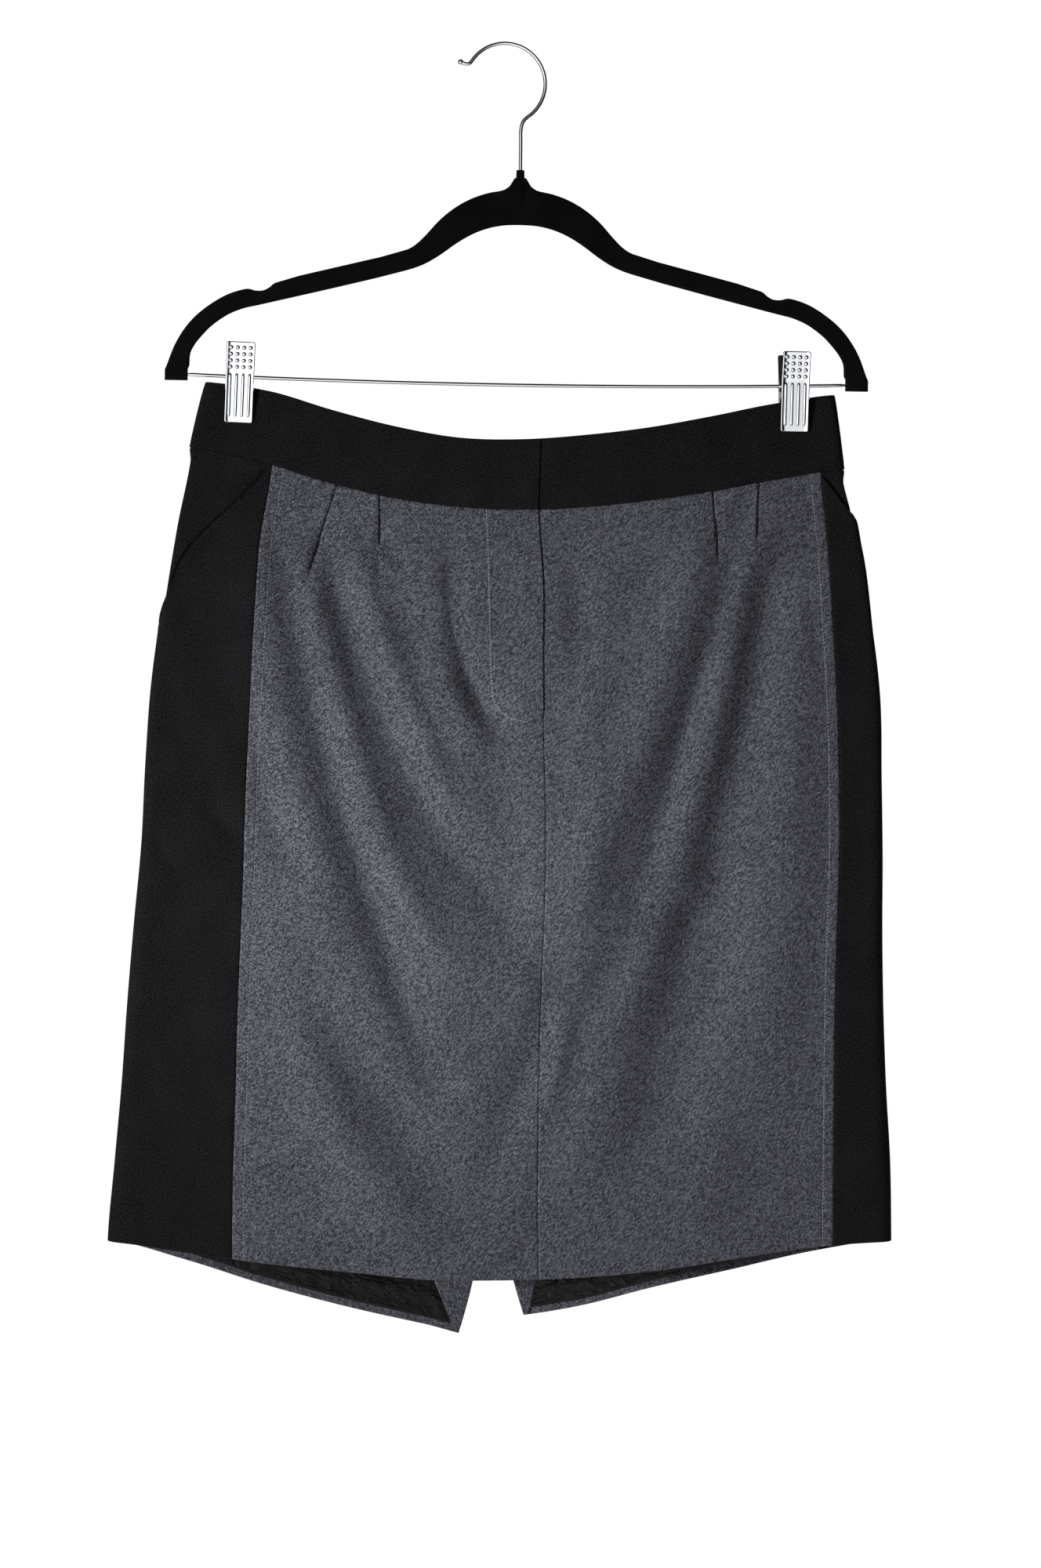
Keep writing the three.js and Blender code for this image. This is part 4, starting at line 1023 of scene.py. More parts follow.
def waistband(name, marks, replaces, fold_end=None):
    """A stretch of waistband between marks round the waist, in millimetres."""
    length = float(face_length(skirt_section(np.array(0.0003))))
    arcs = spread([[mark] for mark in marks], 3.0)
    laps, downs = np.broadcast_arrays(arcs / length, down_rows(2.6, BAND_HEIGHT)[:, None])
    points, normals = on_surface(laps, downs, band_point)
    from_top, from_seam = downs * BAND_HEIGHT, (1 - downs) * BAND_HEIGHT
    from_first, from_last = from_ends(arcs)
    ends = (fold_end != "first") * dip(from_first, 0.45, 0.5)
    ends = ends + (fold_end != "last") * dip(from_last, 0.45, 0.5)
    lap = 0
    if fold_end == "last":
        lap = 0.5 * (1 - smooth(from_last / 20))
    if fold_end == "first":
        lap = -0.45 * np.exp(-from_first / 4)
    outer = HALF_BAND + lap - ends - 0.18 * np.exp(-(((from_seam - 2.2) / 0.8) ** 2))
    full = rounded(from_top, HALF_BAND)
    lower = mix(0.55, 1, rounded(from_seam, 0.7))
    uvs = np.stack(np.broadcast_arrays(arcs, -downs * BAND_HEIGHT), axis=-1)
    sewn = shell(points, normals, outer * full * lower, -HALF_BAND * full, uvs)
    piece = sewn.piece(name, "black_cloth", replaces)
    declare_sheet(points)


def facing_width(downs, side):
    """How wide the vent's facing is: mitred at the hem and tapered at its top."""
    up = (1 - downs) * SKIRT_LENGTH
    mitre = mix(2.5, 40, np.clip(up / {"left": 50, "right": 70}[side], 0, 1))
    taper = np.clip((190 - up) / 40, 0, 1)
    return np.maximum(2.5, np.minimum(mitre, 40 * taper))


def crinkles(arcs, downs):
    """Small folds of the loose lining, fullest at its hem."""
    up = (1 - downs) * SKIRT_LENGTH
    u, v = arcs / 10, up / 10
    waves = (
        np.abs(np.sin(0.9 * u + 1.3 * np.sin(0.7 * v + 0.4 * u)))
        + 0.8 * np.abs(np.sin(1.7 * v + 1.9 * np.sin(0.55 * u) + 0.8 * u))
        + 0.5 * np.abs(np.sin(2.6 * u - 1.5 * v + 1.2 * np.sin(1.1 * v)))
    )
    hem_fold = 0.9 * np.exp(-(((up - 17 - 2 * np.sin(u / 3)) / 3.5) ** 2))
    return (0.45 * (2.3 - waves) / 2.3 * 2 + hem_fold) * smooth((110 - up) / 60)


def lining_piece(side):
    """Black satin inside a back panel, down to just above its hem."""
    rows = np.concatenate([np.linspace(0.008, 0.8, 52)[:-1], np.linspace(0.8, 0.9905, 58)])
    edge_x = vent_edge(side, rows) + TURN[side] * (facing_width(rows, side) - 1.2)
    edge, seam = arc_of_back(skirt_section(rows), edge_x), back_seam(side, rows)
    arcs = columns_between(edge, seam - 12, 92) if side == "left" else columns_between(seam, edge, 92)
    downs, points, normals = skirt_grid(arcs, rows, side)
    from_first, from_last = from_ends(arcs)
    loose = crinkles(arcs, downs) * smooth(from_first / 8) * smooth(from_last / 8)
    sewn = shell(points, normals, -1.25 - loose, -2.0 - loose, cloth_uv(arcs, downs))
    piece = sewn.piece(f"satin_lining_{side}", "satin", [f"lining_{side}"])
    declare_sheet(points)


def facing_piece(side):
    """The grey facing turned in along the vent, cut off slantwise at the hem."""
    rows = spread([[320], [499.4]], 3.2)[0] / SKIRT_LENGTH
    edge_x = vent_edge(side, rows) + TURN[side] * 0.3
    inside_x = edge_x + TURN[side] * facing_width(rows, side)
    edge, inside = (arc_of_back(skirt_section(rows), x) for x in (edge_x, inside_x))
    arcs = columns_between(edge, inside, 16) if side == "left" else columns_between(inside, edge, 16)
    downs, points, normals = skirt_grid(arcs, rows, side)
    sewn = shell(points, normals, -0.95, -2.25, cloth_uv(arcs, downs))
    piece = sewn.piece(f"vent_turning_{side}", "wool", [f"vent_facing_{side}"])
    declare_sheet(points)


def hem_stitch_line(side):
    """Stitches along the top of the turned hem, inside a back panel."""
    down = np.array(1 - 5.4 / SKIRT_LENGTH)
    s = skirt_section(down)
    length = float(face_length(s))
    edge = float(arc_of_back(s, CENTRE_BACK + VENT_SPREAD[side] * 0.93 + TURN[side] * 8))
    seam = length + 52 if side == "right" else 2 * length - 10
    laps = np.linspace(min(edge, seam), max(edge, seam), 90) / length
    return surface_line(laps, down + 0 * laps, -HALF_CLOTH - 0.15, side)


def ring_faces(rings, count):
    """Four-sided faces between each ring of points and the next."""
    faces = []
    for a in range((rings - 1) * count):
        b = a + 1 if (a + 1) % count else a + 1 - count
        faces.append((a, b, b + count, a + count))
    return faces


def box_part(low, high, chamfer):
    """A block with cut corners, as points and faces."""
    low, high = np.array(low, float), np.array(high, float)
    points = []
    levels = ((low[2], chamfer), (low[2] + chamfer, 0), (high[2] - chamfer, 0), (high[2], chamfer))
    for z, inset in levels:
        a, b = low[:2] + inset, high[:2] - inset
        c = chamfer
        points += [
            (a[0] + c, a[1], z), (b[0] - c, a[1], z), (b[0], a[1] + c, z), (b[0], b[1] - c, z),
            (b[0] - c, b[1], z), (a[0] + c, b[1], z), (a[0], b[1] - c, z), (a[0], a[1] + c, z),
        ]
    return np.array(points), [*ring_faces(4, 8), tuple(range(7, -1, -1)), tuple(range(24, 32))]


def through(points, per_span):
    """A smooth line through points."""
    points = np.asarray(points, float)
    lengths = np.r_[0, np.cumsum(np.linalg.norm(np.diff(points, axis=0), axis=1) ** 0.5)]
    steps = []
    for k in range(len(points) - 1):
        a, b, c, d = (points[np.clip(k + j, 0, len(points) - 1)] for j in (-1, 0, 1, 2))
        t0, t1, t2, t3 = (
            lengths[k - 1] if k else lengths[0] - (lengths[1] - lengths[0]),
            lengths[k],
            lengths[k + 1],
            lengths[k + 2] if k + 2 < len(points) else 2 * lengths[-1] - lengths[-2],
        )
        a = a if k else 2 * b - c
        d = d if k + 2 < len(points) else 2 * c - b
        for t in np.linspace(t1, t2, per_span, endpoint=False):
            p = a * (t1 - t) / (t1 - t0) + b * (t - t0) / (t1 - t0)
            q = b * (t2 - t) / (t2 - t1) + c * (t - t1) / (t2 - t1)
            r = c * (t3 - t) / (t3 - t2) + d * (t - t2) / (t3 - t2)
            pq = p * (t2 - t) / (t2 - t0) + q * (t - t0) / (t2 - t0)
            qr = q * (t3 - t) / (t3 - t1) + r * (t - t1) / (t3 - t1)
            steps.append(pq * (t2 - t) / (t2 - t1) + qr * (t - t1) / (t2 - t1))
    return np.array(steps + [points[-1]])


HANGER_AXIS = 10.3
HANGER_TILT = 0.6
BAR_END = -213.1
CLIPS = {"left": (-177.2, 1.6), "right": (177.1, 0.2)}
NECK = ((0, -84.2), (3.4, -84.6), (5, -86.8), (6.8, -89.8))
ARCH_TOP = (
    (6.8, -89.8), (10.5, -92.3), (20.5, -94.5), (30.5, -98), (40.5, -103.5), (50.5, -111.5), (60.5, -122.5),
    (66, -127.8), (72, -131.5), (155.5, -154.2), (159, -157), (163, -159.1), (168, -159.3), (172, -158.3),
    (176, -158.8), (185.5, -162), (195.5, -167.8), (205.5, -175.8), (212.5, -184), (218.8, -194.8),
    (223.6, -207.5),
)
CAP = ((224.8, -210.2), (224.8, -217), (210.2, -217), (210.2, -209.6))
ARCH_UNDER = (
    (209.2, -207.5), (208.6, -199.5), (205.5, -193.5), (200.5, -187.3), (195.5, -182.2), (185.5, -175),
    (175.5, -170.7), (165.5, -168.3), (72, -144.6), (60.5, -140.3), (50.5, -134.3), (40.5, -127),
    (30.5, -121), (20.5, -117), (10.5, -114.9), (0, -114.4),
)


def turned(points, degrees):
    """Points turned about Y, as the hanger and its clips are."""
    angle = math.radians(degrees)
    x, y, z = np.moveaxis(np.asarray(points, float), -1, 0)
    across, up = math.cos(angle), math.sin(angle)
    return np.stack([x * across + z * up, y, z * across - x * up], axis=-1)


def on_hanger(points):
    return turned(points, HANGER_TILT)


def bar_height(out):
    return BAR_END - 3.5 * (1 - (out / 215) ** 2)


def inset_line(points, distance):
    """A closed outline moved inwards."""
    before, after = np.roll(points, 1, axis=0), np.roll(points, -1, axis=0)
    first, second = unit(points - before), unit(after - points)
    normals = [np.stack([v[:, 1], -v[:, 0]], axis=-1) for v in (first, second)]
    middle = unit(normals[0] + normals[1])
    lean = np.maximum(0.6, (middle * normals[0]).sum(axis=-1, keepdims=True))
    return points + middle * distance / lean


def hanger_parts():
    """The flocked body: a slim rounded plate in the outline of an arch with two arms."""
    half = np.concatenate([
        through(NECK, 3)[:-1], through(ARCH_TOP, 4), np.array(CAP, float), through(ARCH_UNDER, 4),
    ])
    half = half[np.r_[True, np.linalg.norm(np.diff(half, axis=0), axis=1) > 1e-6]]
    outline = np.concatenate([half, (half * [-1, 1])[-2:0:-1]])
    thick, radius = 2.75, 1.9
    angles = np.linspace(math.pi / 2, 0, 6)
    depths = [-thick + radius * (1 - math.sin(a)) for a in angles]
    rings = [inset_line(outline, radius * (1 - math.cos(a))) for a in angles]
    rings, depths = rings + rings[::-1], depths + [-d for d in depths[::-1]]
    count = len(outline)
    points = np.concatenate([
        np.stack([ring[:, 0] + HANGER_AXIS, np.full(count, depth), ring[:, 1]], axis=-1)
        for ring, depth in zip(rings, depths)
    ])
    last = (len(rings) - 1) * count
    ends = [tuple(range(count - 1, -1, -1)), tuple(range(last, last + count))]
    return on_hanger(points), ring_faces(len(rings), count), ends


def lathe(profile, sides):
    """A turned part about Z from radii and heights."""
    angles = np.linspace(0, 2 * math.pi, sides, endpoint=False)
    points = np.array([(r * math.cos(a), r * math.sin(a), z) for r, z in profile for a in angles])
    return points, ring_faces(len(profile), sides)


BENDS = np.array([(4.1, -29.5), (8, 4), (13.5, 21)])
EAR = ((9.6, 10), (3, 4.6), (-1.6, 3.4), (-3.2, 0), (-1.6, -3.4), (3, -4), (6.4, -9), (7, -9), (8.4, 4))


def on_clip(points, place, facing_back):
    """Points of a clip's leaf, made at the bar with its face to the front, where they lie on the hanger."""
    out_at, turn = CLIPS[place]
    faced = np.asarray(points, float) * ([-1, -1, 1] if facing_back else [1, 1, 1])
    return on_hanger(turned(faced, turn) + [HANGER_AXIS + out_at, 0, bar_height(out_at)])


def leaf_curve():
    """How far out and how high a leaf's plate runs, from its top edge down to its lip."""
    lower, upper = unit(BENDS[1] - BENDS[0]), unit(BENDS[2] - BENDS[1])
    knee = 2.5
    before, after = BENDS[1] - lower * knee, BENDS[1] + upper * knee
    curve = [BENDS[0] + lower * t for t in (0, 0.3, 0.8, 1.6, 2.4)]
    curve += list(np.linspace(BENDS[0] + lower * 4, before, 12))
    for t in (0.2, 0.4, 0.6, 0.8):
        curve.append((1 - t) ** 2 * before + 2 * t * (1 - t) * BENDS[1] + t * t * after)
    curve += list(np.linspace(after, BENDS[2] - upper * 2.4, 7))
    curve += [BENDS[2] - upper * t for t in (1.6, 0.8, 0.3, 0)]
    return np.array(curve[::-1])


def leaf_plate(place, facing_back):
    """A clip's leaf: a bent plate with rounded corners and two ears."""
    curve = leaf_curve()
    from_end = np.r_[0, np.cumsum(np.linalg.norm(np.diff(curve, axis=0), axis=1))]
    from_end = np.minimum(from_end, from_end[-1] - from_end)
    corner = 1.4
    half_width = 9 - corner + np.sqrt(corner**2 - np.clip(corner - from_end, 0, corner) ** 2)
    across = np.r_[-1, -0.985, -0.94, np.linspace(-0.85, 0.85, 11), 0.94, 0.985, 1]
    x = half_width[:, None] * across[None, :]
    points = np.stack([x, 0 * x - curve[:, :1], 0 * x + curve[:, 1:]], axis=-1)
    direction = unit(np.gradient(curve, axis=0))
    out = np.stack([direction[:, 1], -direction[:, 0]], axis=-1)
    out *= np.sign(-out[:, :1])
    normals = np.stack([0 * x, 0 * x + out[:, :1], 0 * x - out[:, 1:]], axis=-1)
    full = rounded(9 * (1 - np.abs(across))[None, :] + 0 * x, 0.45) * rounded(from_end[:, None] + 0 * x, 0.45)
    raised = 0.5 * smooth((np.abs(x) - 7.6) / 0.7)
    made = shell(points, normals, (0.45 + raised) * full, -0.45 * full)
    ear = through(EAR + EAR[:1], 3)[:-1]
    count = len(ear)
    inset = 1.1 if facing_back else 0.0
    for turn in (-1, 1):
        both = np.concatenate([
            np.stack([np.full(count, turn * (9 - at)), -ear[:, 0], ear[:, 1]], axis=-1)
            for at in (inset, inset + 0.8)
        ])
        sides = [(k, (k + 1) % count, (k + 1) % count + count, k + count) for k in range(count)]
        caps = [tuple(range(count - 1, -1, -1)), tuple(range(count, 2 * count))]
        order = slice(None) if turn < 0 else slice(None, None, -1)
        made.add(both, [f[order] for f in sides + caps], flat=True)
    made.points = [on_clip(part, place, facing_back) for part in made.points]
    facing = "back" if facing_back else "front"
    made.piece(f"clip_{place}_leaf_{facing}", "chrome", [f"clip_{place}_{facing}"])


def up_the_leaf(height, proud):
    """How far out from the bar a leaf's face lies at a height."""
    return np.interp(height, BENDS[:, 1], BENDS[:, 0]) + proud


def leaf_lines(heights, proud, place):
    """Four lines up each of a clip's two leaves."""
    heights = np.asarray(heights, float)
    lines = []
    for facing_back in (False, True):
        for column in (-1.5, -0.5, 0.5, 1.5):
            out = up_the_leaf(heights, proud)
            line = np.stack([0 * out + 4.1 * column, -out, heights], axis=-1)
            lines.append(on_clip(line, place, facing_back))
    return lines


class SkirtCloth(PropertyGroup):
    """The cloth's colours and its stitches"""

    wool_dark: FloatVectorProperty(
        name="Wool, dark fibre", description="Colour of the wool's dark fibres", subtype="COLOR", size=3,
        default=(0.030, 0.031, 0.038),
    )
    wool_pale: FloatVectorProperty(
        name="Wool, pale fibre", description="Colour of the wool's pale fibres", subtype="COLOR", size=3,
        default=(0.235, 0.243, 0.285),
    )
    twill_pitch: FloatProperty(
        name="Twill pitch", description="Distance between two lines of the twill", default=0.001, min=0.0003,
        unit="LENGTH",
    )
    black_colour: FloatVectorProperty(
        name="Black cloth", description="Colour of the sides and the waistband", subtype="COLOR", size=3,
        default=(0.0125, 0.0125, 0.0137),
    )
    satin_colour: FloatVectorProperty(
        name="Lining", description="Colour of the satin lining", subtype="COLOR", size=3,
        default=(0.006, 0.006, 0.0065),
    )
    thread_colour: FloatVectorProperty(
        name="Thread", description="Colour of the stitches", subtype="COLOR", size=3,
        default=(0.34, 0.35, 0.38),
    )
    stitch_pitch: FloatProperty(
        name="Stitch pitch", description="Distance from one stitch to the next", default=0.0022, min=0.001,
        unit="LENGTH",
    )
    stitch_width: FloatProperty(
        name="Thread width", description="How thick a stitch's thread is", default=0.0006, min=0.0001,
        unit="LENGTH",
    )


class SkirtHanger(PropertyGroup):
    """The hanger's colours and wires"""

    flock_colour: FloatVectorProperty(
        name="Flock", description="Colour of the flocked body", subtype="COLOR", size=3,
        default=(0.0075, 0.0075, 0.008),
    )
    chrome_colour: FloatVectorProperty(
        name="Chrome", description="Colour of the wires and clips", subtype="COLOR", size=3,
        default=(0.72, 0.74, 0.77),
    )
    chrome_roughness: FloatProperty(
        name="Chrome roughness", description="How rough the plated metal is", default=0.09, min=0.02, max=1.0,
        subtype="FACTOR",
    )
    hook_wire: FloatProperty(
        name="Hook wire", description="Radius of the hook's wire", default=0.00112, min=0.0005, unit="LENGTH",
    )
    bar_wire: FloatProperty(
        name="Bar wire", description="Radius of the clip bar", default=0.0011, min=0.0005, unit="LENGTH",
    )
    wire_sides: IntProperty(
        name="Wire sides", description="Flat faces round a wire", default=16, min=6, max=32,
    )


class SkirtStage(PropertyGroup):
    """The studio round the object"""

    backdrop: FloatVectorProperty(
        name="Backdrop", description="Colour behind the object", subtype="COLOR", size=3,
        default=(1.0, 1.0, 1.0),
    )
    fill: FloatProperty(
        name="Fill", description="Strength of the light from all round", default=0.1, min=0.0,
    )
    panels: FloatProperty(
        name="Panels", description="Brightness of the white panels that the chrome mirrors",
        default=2.1, min=0.0,
    )
    key: FloatProperty(
        name="Key light", description="Power of the soft light left of the camera", default=575.0, min=0.0,
        unit="POWER",
    )
    rear: FloatProperty(
        name="Rear light", description="Power of the soft light behind the object", default=32.0, min=0.0,
        unit="POWER",
    )
    top: FloatProperty(
        name="Top light", description="Power of the soft light above the object", default=6.0, min=0.0,
        unit="POWER",
    )
    below: FloatProperty(
        name="Floor light", description="Power of the soft light on the floor below the object", default=5.0,
        min=0.0, unit="POWER",
    )
    distance: FloatProperty(
        name="Camera distance", description="From the camera to the skirt", default=2.8, min=1.0,
        unit="LENGTH",
    )


class SKIRT_OT_front_panels(Operator):
    """Grey front panels with darts, the fly's lap and topstitched edges"""

    bl_idname = "skirt.front_panels"
    bl_label = "Front panels"

    def execute(self, context):
        lines = [front_panel("left"), front_panel("right")]
        grown_piece("front_edge_stitches", lines, stitch_tree(), stitch_values(thick=FINE_THREAD))
        return {"FINISHED"}


class SKIRT_OT_back_panels(Operator):
    """Grey back panels, parted by the vent"""

    bl_idname = "skirt.back_panels"
    bl_label = "Back panels"

    def execute(self, context):
        lines = [back_panel("left"), back_panel("right")]
        grown_piece("back_edge_stitches", lines, stitch_tree(), stitch_values())
        return {"FINISHED"}


class SKIRT_OT_sides(Operator):
    """Black side panels below the scooped pockets, and the cloth inside the pockets"""

    bl_idname = "skirt.sides"
    bl_label = "Sides and pockets"

    def execute(self, context):
        for side in ("left", "right"):
            side_panel(side)
            pocket_yoke(side)
        return {"FINISHED"}


class SKIRT_OT_waistband(Operator):
    """The contoured black waistband in three stretches"""

    bl_idname = "skirt.waistband"
    bl_label = "Waistband"

    def execute(self, context):
        s = skirt_section(np.array(0.0003))
        length = float(face_length(s))
        centre = float(arc_of_front(s, SECTIONS["centre"][0]))
        left, right = -5.0, length + 40.0
        waistband("waistband_left", [left, centre], ["waistband_front_left"], "last")
        waistband("waistband_right", [centre, right], ["waistband_front_right"], "first")
        waistband("waistband_rear", [right, 2 * length - 5], ["waistband_back"])
        return {"FINISHED"}


class SKIRT_OT_inside(Operator):
    """The satin lining, the vent's facings and the stitches of the turned hem"""

    bl_idname = "skirt.inside"
    bl_label = "Lining and facings"

    def execute(self, context):
        for side in ("left", "right"):
            lining_piece(side)
            facing_piece(side)
        lines = [hem_stitch_line("left"), hem_stitch_line("right")]
        grown_piece("hem_stitches", lines, stitch_tree(), stitch_values(0.8))
        return {"FINISHED"}


class SKIRT_OT_fly(Operator):
    """The fly's curved row of stitches with its bar tack, and the zip behind it"""

    bl_idname = "skirt.fly"
    bl_label = "Fly and zip"

    def execute(self, context):
        laps, downs = find_front(FLY_STITCHES["x"], FLY_STITCHES["z"])
        fine = np.linspace(0, len(laps) - 1, 160)
        laps, downs = (np.interp(fine, np.arange(len(v)), v) for v in (laps, downs))
        s = skirt_section(downs)
        from_centre = arc_of_front(s, along(SECTIONS["centre"], downs)) - laps * face_length(s)
        curve = surface_line(laps, downs, HALF_CLOTH + 0.12 + fly_lift(downs, from_centre)[:, None])
        tack_laps, tack_downs = find_front(np.linspace(12.5, 17, 14), np.full(14, -432.0))
        tack = surface_line(tack_laps, tack_downs, HALF_CLOTH + 0.7)
        grown_piece("fly_stitches", [curve], stitch_tree(), stitch_values(0.9))
        tack_values = row_values(0.0005, 0.0005, 0.0017, 0.0007, "wool")
        grown_piece("fly_tack", [tack], stitch_tree(), tack_values)
        rows = np.linspace(3, 132, 44) / SKIRT_LENGTH
        s = skirt_section(rows)
        centre = arc_of_front(s, along(SECTIONS["centre"], rows))
        across = np.array([-12, -11.6, -8, -4, -1, 1, 4, 8, 11.6, 12.0])
        arcs = centre[:, None] + across[None, :]
        heights, points, normals = skirt_grid(arcs, rows)
        bulge = 0.5 * np.exp(-((across[None, :] / 3) ** 2))
        tape = shell(points, normals, -1.25, -2.1 - bulge, cloth_uv(arcs, heights))
        tape.piece("zip_ribbon", "black_cloth", ["zip_tape"])
        tree = row_tree("row of zip teeth", BLOCK, 1, 1)
        lines = [surface_line((centre + out) / face_length(s), rows, -3.0) for out in (-0.9, 0.9)]
        lines[1] -= [0, 0, 0.75]
        grown_piece("zip_teeth", lines, tree, row_values(0.0015, 0.0008, 0.0024, 0.0012, "chrome"))
        slider = Sewn()
        slider.add(*box_part((-3.3, -1.2, -4.8), (3.3, 1.2, 4.8), 0.6))
        slider.add(*box_part((-1.3, 1.0, -3.4), (1.3, 2.1, 3.0), 0.4))
        slider.add(*box_part((-2.3, 1.5, -19), (2.3, 2.4, -1.5), 0.35))
        low, high = (np.array(corner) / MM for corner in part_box("zip_slider"))
        for part in slider.points:
            part += (low + high) / 2
        slider.piece("zip_pull", "chrome", ["zip_slider"])
        return {"FINISHED"}


class SKIRT_OT_hanger(Operator):
    """The slim flocked hanger body with the sleeve that holds the hook"""

    bl_idname = "skirt.hanger"
    bl_label = "Hanger body"

    def execute(self, context):
        body = Sewn()
        points, faces, ends = hanger_parts()
        body.add(points, faces)
        body.add(points, ends, flat=True)
        sleeve, sleeve_faces = lathe(
            [
                (1.7, -92), (1.7, -79.9), (2.0, -79.5), (2.4, -79.6), (2.6, -80), (2.7, -86), (3.6, -88.5),
                (3.6, -99),
            ], 20,
        )
        body.add(on_hanger(sleeve + [HANGER_AXIS, 0, 0]), [f[::-1] for f in sleeve_faces])
        body.piece("flocked_body", "flock", ["hanger_body"])
        return {"FINISHED"}


class SKIRT_OT_wires(Operator):
    """The hook and the bar that the clips hang on"""

    bl_idname = "skirt.wires"
    bl_label = "Hook and bar"

    def execute(self, context):
        values = context.scene.skirt_hanger
        radius = 25.6
        centre = 1.25 - radius
        arc = [
            (radius * math.cos(math.radians(a)), centre + radius * math.sin(math.radians(a)))
            for a in range(148, -57, -6)
        ]
        tip = [(-28.6, -11.2), (-25.4, -12.4), (-23.2, -12.2)]
        stem = [(11.6, -48.6), (HANGER_AXIS, -54), (HANGER_AXIS, -62), (HANGER_AXIS, -91.5)]
        line = through([(x, 0, z) for x, z in tip + arc + stem], 4)
        hook_values = rod_values(values.hook_wire, 170, values.wire_sides)
        grown_piece("hook_wire", [on_hanger(line)], wire_tree(), hook_values, ["hook"])
        angles = np.linspace(math.pi, 0, 9)
        ball, ball_faces = lathe([(max(0.01, 1.7 * math.sin(a)), 1.7 * math.cos(a)) for a in angles], 14)
        tip_ball = Sewn().add(on_hanger(ball + [tip[0][0], 0, tip[0][1]]), ball_faces)
        tip_ball.piece("hook_tip", "chrome")
        outs = np.linspace(-215, 215, 60)
        line = np.stack([HANGER_AXIS + outs, 0 * outs, bar_height(outs)], axis=-1)
        bar_values = rod_values(values.bar_wire, 60, values.wire_sides)
        grown_piece("bar_wire", [on_hanger(line)], wire_tree(), bar_values, ["clip_bar"])
        return {"FINISHED"}


class SKIRT_OT_clips(Operator):
    """Two clips of two leaves each, with a spring round the bar"""

    bl_idname = "skirt.clips"
    bl_label = "Clips"

    def execute(self, context):
        rib = rod_tree("ribs", 14)
        stud = row_tree("studs", FINE_BALL, 1, 1)
        for place in ("left", "right"):
            for facing_back in (False, True):
                leaf_plate(place, facing_back)
            ribs = leaf_lines(np.linspace(-26.5, 2.2, 12), -0.15, place)
            grown_piece(f"clip_{place}_ribs", ribs, rib, rod_values(0.00125, 28, 12))
            size = 0.0029
            studs = leaf_lines([5.3, 9.3, 13.3, 17.3], 0.5, place)
            # A little less than the studs' distance, so that the last one of a line isn't lost
            spacing = float(np.linalg.norm(studs[0][1] - studs[0][0])) * MM * 0.999
            stud_values = row_values(spacing, size, size, 0.7 * size, "chrome")
            grown_piece(f"clip_{place}_studs", studs, stud, stud_values)
            angles = np.linspace(0, 2 * math.pi * 8, 8 * 16)
            along_bar = np.linspace(-5.9, 5.9, len(angles))
            coil = np.stack([along_bar, 2.5 * np.cos(angles), 2.5 * np.sin(angles)], axis=-1)
            coil, spring = [on_clip(coil, place, False)], [f"clip_{place}_spring"]
            coil_values = rod_values(0.00062, 160, 8)
            grown_piece(f"clip_{place}_coil", coil, wire_tree(), coil_values, spring)
        return {"FINISHED"}


def soft_light(name, place, target, size, power, cone=0):
    """A round area light, or a spot light where it has a cone, in degrees."""
    lamp = bpy.data.lights.new(name, "SPOT" if cone else "AREA")
    if cone:
        lamp.spot_size, lamp.spot_blend, lamp.shadow_soft_size = math.radians(cone), 1.0, size / 2
    else:
        lamp.shape, lamp.size = "DISK", size
    lamp.energy = power
    made = bpy.data.objects.new(name, lamp)
    made.location = place
    made.visible_glossy = made.visible_camera = False
    made.rotation_euler = (Vector(target) - Vector(place)).to_track_quat("-Z", "Y").to_euler()
    bpy.context.scene.collection.objects.link(made)


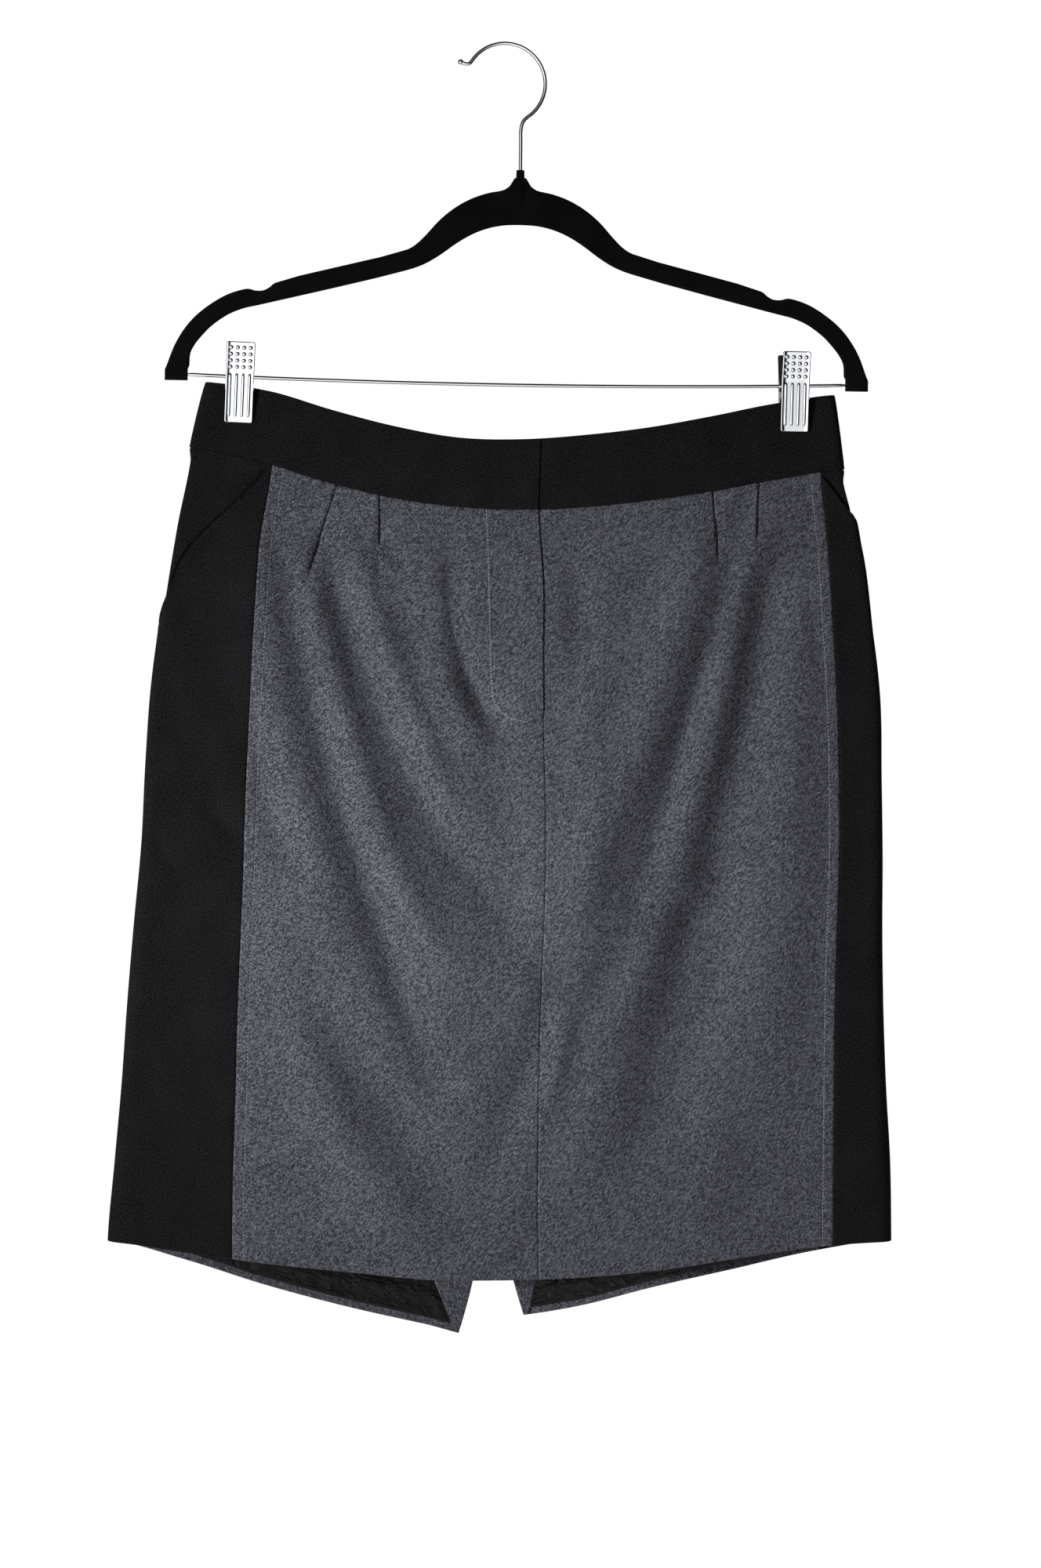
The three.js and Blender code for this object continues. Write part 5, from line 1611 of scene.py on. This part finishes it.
class SKIRT_OT_stage(Operator):
    """The camera, the soft lights and a plain pale floor"""

    bl_idname = "skirt.stage"
    bl_label = "Stage"

    def execute(self, context):
        values = context.scene.skirt_stage
        scene = context.scene
        scene.view_settings.view_transform = "Standard"
        world = bpy.data.worlds.new("studio")
        scene.world = world
        world.use_nodes = True
        tree = world.node_tree
        seen = tree.nodes["Background"]
        seen.inputs["Color"].default_value = (*values.backdrop, 1)
        n = add_nodes(
            tree,
            ray=("ShaderNodeLightPath", {}, {}),
            soft=("ShaderNodeBackground", {}, {"Color": (1, 1, 1, 1), "Strength": values.fill}),
            around=("ShaderNodeTexCoord", {}, {}),
            before=("ShaderNodeVectorMath", {"operation": "DOT_PRODUCT"}, {1: (-0.42, -0.84, -0.33)}),
            panels=("ShaderNodeMapRange", {"interpolation_type": "SMOOTHSTEP"}, {
                "From Min": 0.67, "From Max": 0.97, "To Min": 0.02, "To Max": values.panels,
            }),
            mirrored=("ShaderNodeBackground", {}, {"Color": (0.97, 0.99, 1, 1)}),
            lit=("ShaderNodeMixShader", {}, {}),
            either=("ShaderNodeMixShader", {}, {}),
        )
        for start, end in (
            (n["around"].outputs["Generated"], n["before"].inputs[0]),
            (n["before"].outputs["Value"], n["panels"].inputs["Value"]),
            (n["panels"].outputs["Result"], n["mirrored"].inputs["Strength"]),
            (n["ray"].outputs["Is Glossy Ray"], n["lit"].inputs["Fac"]),
            (n["soft"].outputs["Background"], n["lit"].inputs[1]),
            (n["mirrored"].outputs["Background"], n["lit"].inputs[2]),
            (n["ray"].outputs["Is Camera Ray"], n["either"].inputs["Fac"]),
            (n["lit"].outputs["Shader"], n["either"].inputs[1]),
            (seen.outputs["Background"], n["either"].inputs[2]),
            (n["either"].outputs["Shader"], tree.nodes["World Output"].inputs["Surface"]),
        ):
            tree.links.new(start, end)

        aim = Vector((0.0095, 0, -0.471))
        turn = math.radians(-4)
        forwards = Vector((-math.sin(turn), math.cos(turn), 0))
        lens = bpy.data.cameras.new("camera")
        lens.sensor_width = 36
        lens.lens = 36 * values.distance
        camera = bpy.data.objects.new("camera", lens)
        camera.location = aim - forwards * values.distance
        camera.rotation_euler = forwards.to_track_quat("-Z", "Y").to_euler()
        scene.collection.objects.link(camera)
        scene.camera = camera

        soft_light("key light", (-2.7, -2.4, -0.3), (-0.015, 0, -0.52), 0.6, values.key, 17)
        soft_light("rear light", (1.4, 2.6, 0.6), aim, 1.4, values.rear)
        soft_light("top light", (0.3, 0.4, 2.2), (0, 0, -1), 1.6, values.top)
        soft_light("floor light", (0, 0, -0.9), (0, 0, -1.3), 1.8, values.below)

        radius, steps = 1.2, 72
        angles = [2 * math.pi * k / steps for k in range(steps)]
        rim = [(radius * math.cos(angle), radius * math.sin(angle), -1.3) for angle in angles]
        mesh = bpy.data.meshes.new("floor")
        mesh.from_pydata(rim, [], [tuple(range(steps))])
        floor = bpy.data.objects.new("floor", mesh)
        scene.collection.objects.link(floor)
        material, tree, shader = blank_material("pale floor", Roughness=0.9)
        place = tree.nodes.new("ShaderNodeTexCoord").outputs["Object"]
        faint = noise_of(tree, place, "faint", (1.5, 1.5, 1.5), 1.0, 2.0)
        colour_into(tree, shader, faint, (0.3, (0.9, 0.9, 0.9)), (0.7, (0.94, 0.94, 0.94)))
        mesh.materials.append(material)
        return {"FINISHED"}


OPERATORS = (
    SKIRT_OT_front_panels,
    SKIRT_OT_back_panels,
    SKIRT_OT_sides,
    SKIRT_OT_waistband,
    SKIRT_OT_inside,
    SKIRT_OT_fly,
    SKIRT_OT_hanger,
    SKIRT_OT_wires,
    SKIRT_OT_clips,
    SKIRT_OT_stage,
)


class SKIRT_PT_panel(Panel):
    """The skirt's pieces and values"""

    bl_label = "Pencil skirt"
    bl_space_type = "VIEW_3D"
    bl_region_type = "UI"
    bl_category = "Skirt"

    def draw(self, context):
        for values in (context.scene.skirt_cloth, context.scene.skirt_hanger, context.scene.skirt_stage):
            box = self.layout.box()
            for name in values.__annotations__:
                box.prop(values, name)
        for operator in OPERATORS:
            self.layout.operator(operator.bl_idname)


GROUPS = {"skirt_cloth": SkirtCloth, "skirt_hanger": SkirtHanger, "skirt_stage": SkirtStage}


def register():
    for kind in (*GROUPS.values(), *OPERATORS, SKIRT_PT_panel):
        bpy.utils.register_class(kind)
    for name, group in GROUPS.items():
        setattr(bpy.types.Scene, name, PointerProperty(type=group))


def unregister():
    for name in GROUPS:
        delattr(bpy.types.Scene, name)
    for kind in (SKIRT_PT_panel, *reversed(OPERATORS), *GROUPS.values()):
        bpy.utils.unregister_class(kind)


def main():
    register()
    bpy.ops.skirt.front_panels()
    bpy.ops.skirt.back_panels()
    bpy.ops.skirt.sides()
    bpy.ops.skirt.waistband()
    bpy.ops.skirt.inside()
    bpy.ops.skirt.fly()
    bpy.ops.skirt.hanger()
    bpy.ops.skirt.wires()
    bpy.ops.skirt.clips()
    bpy.ops.skirt.stage()


if __name__ == "__main__":
    main()
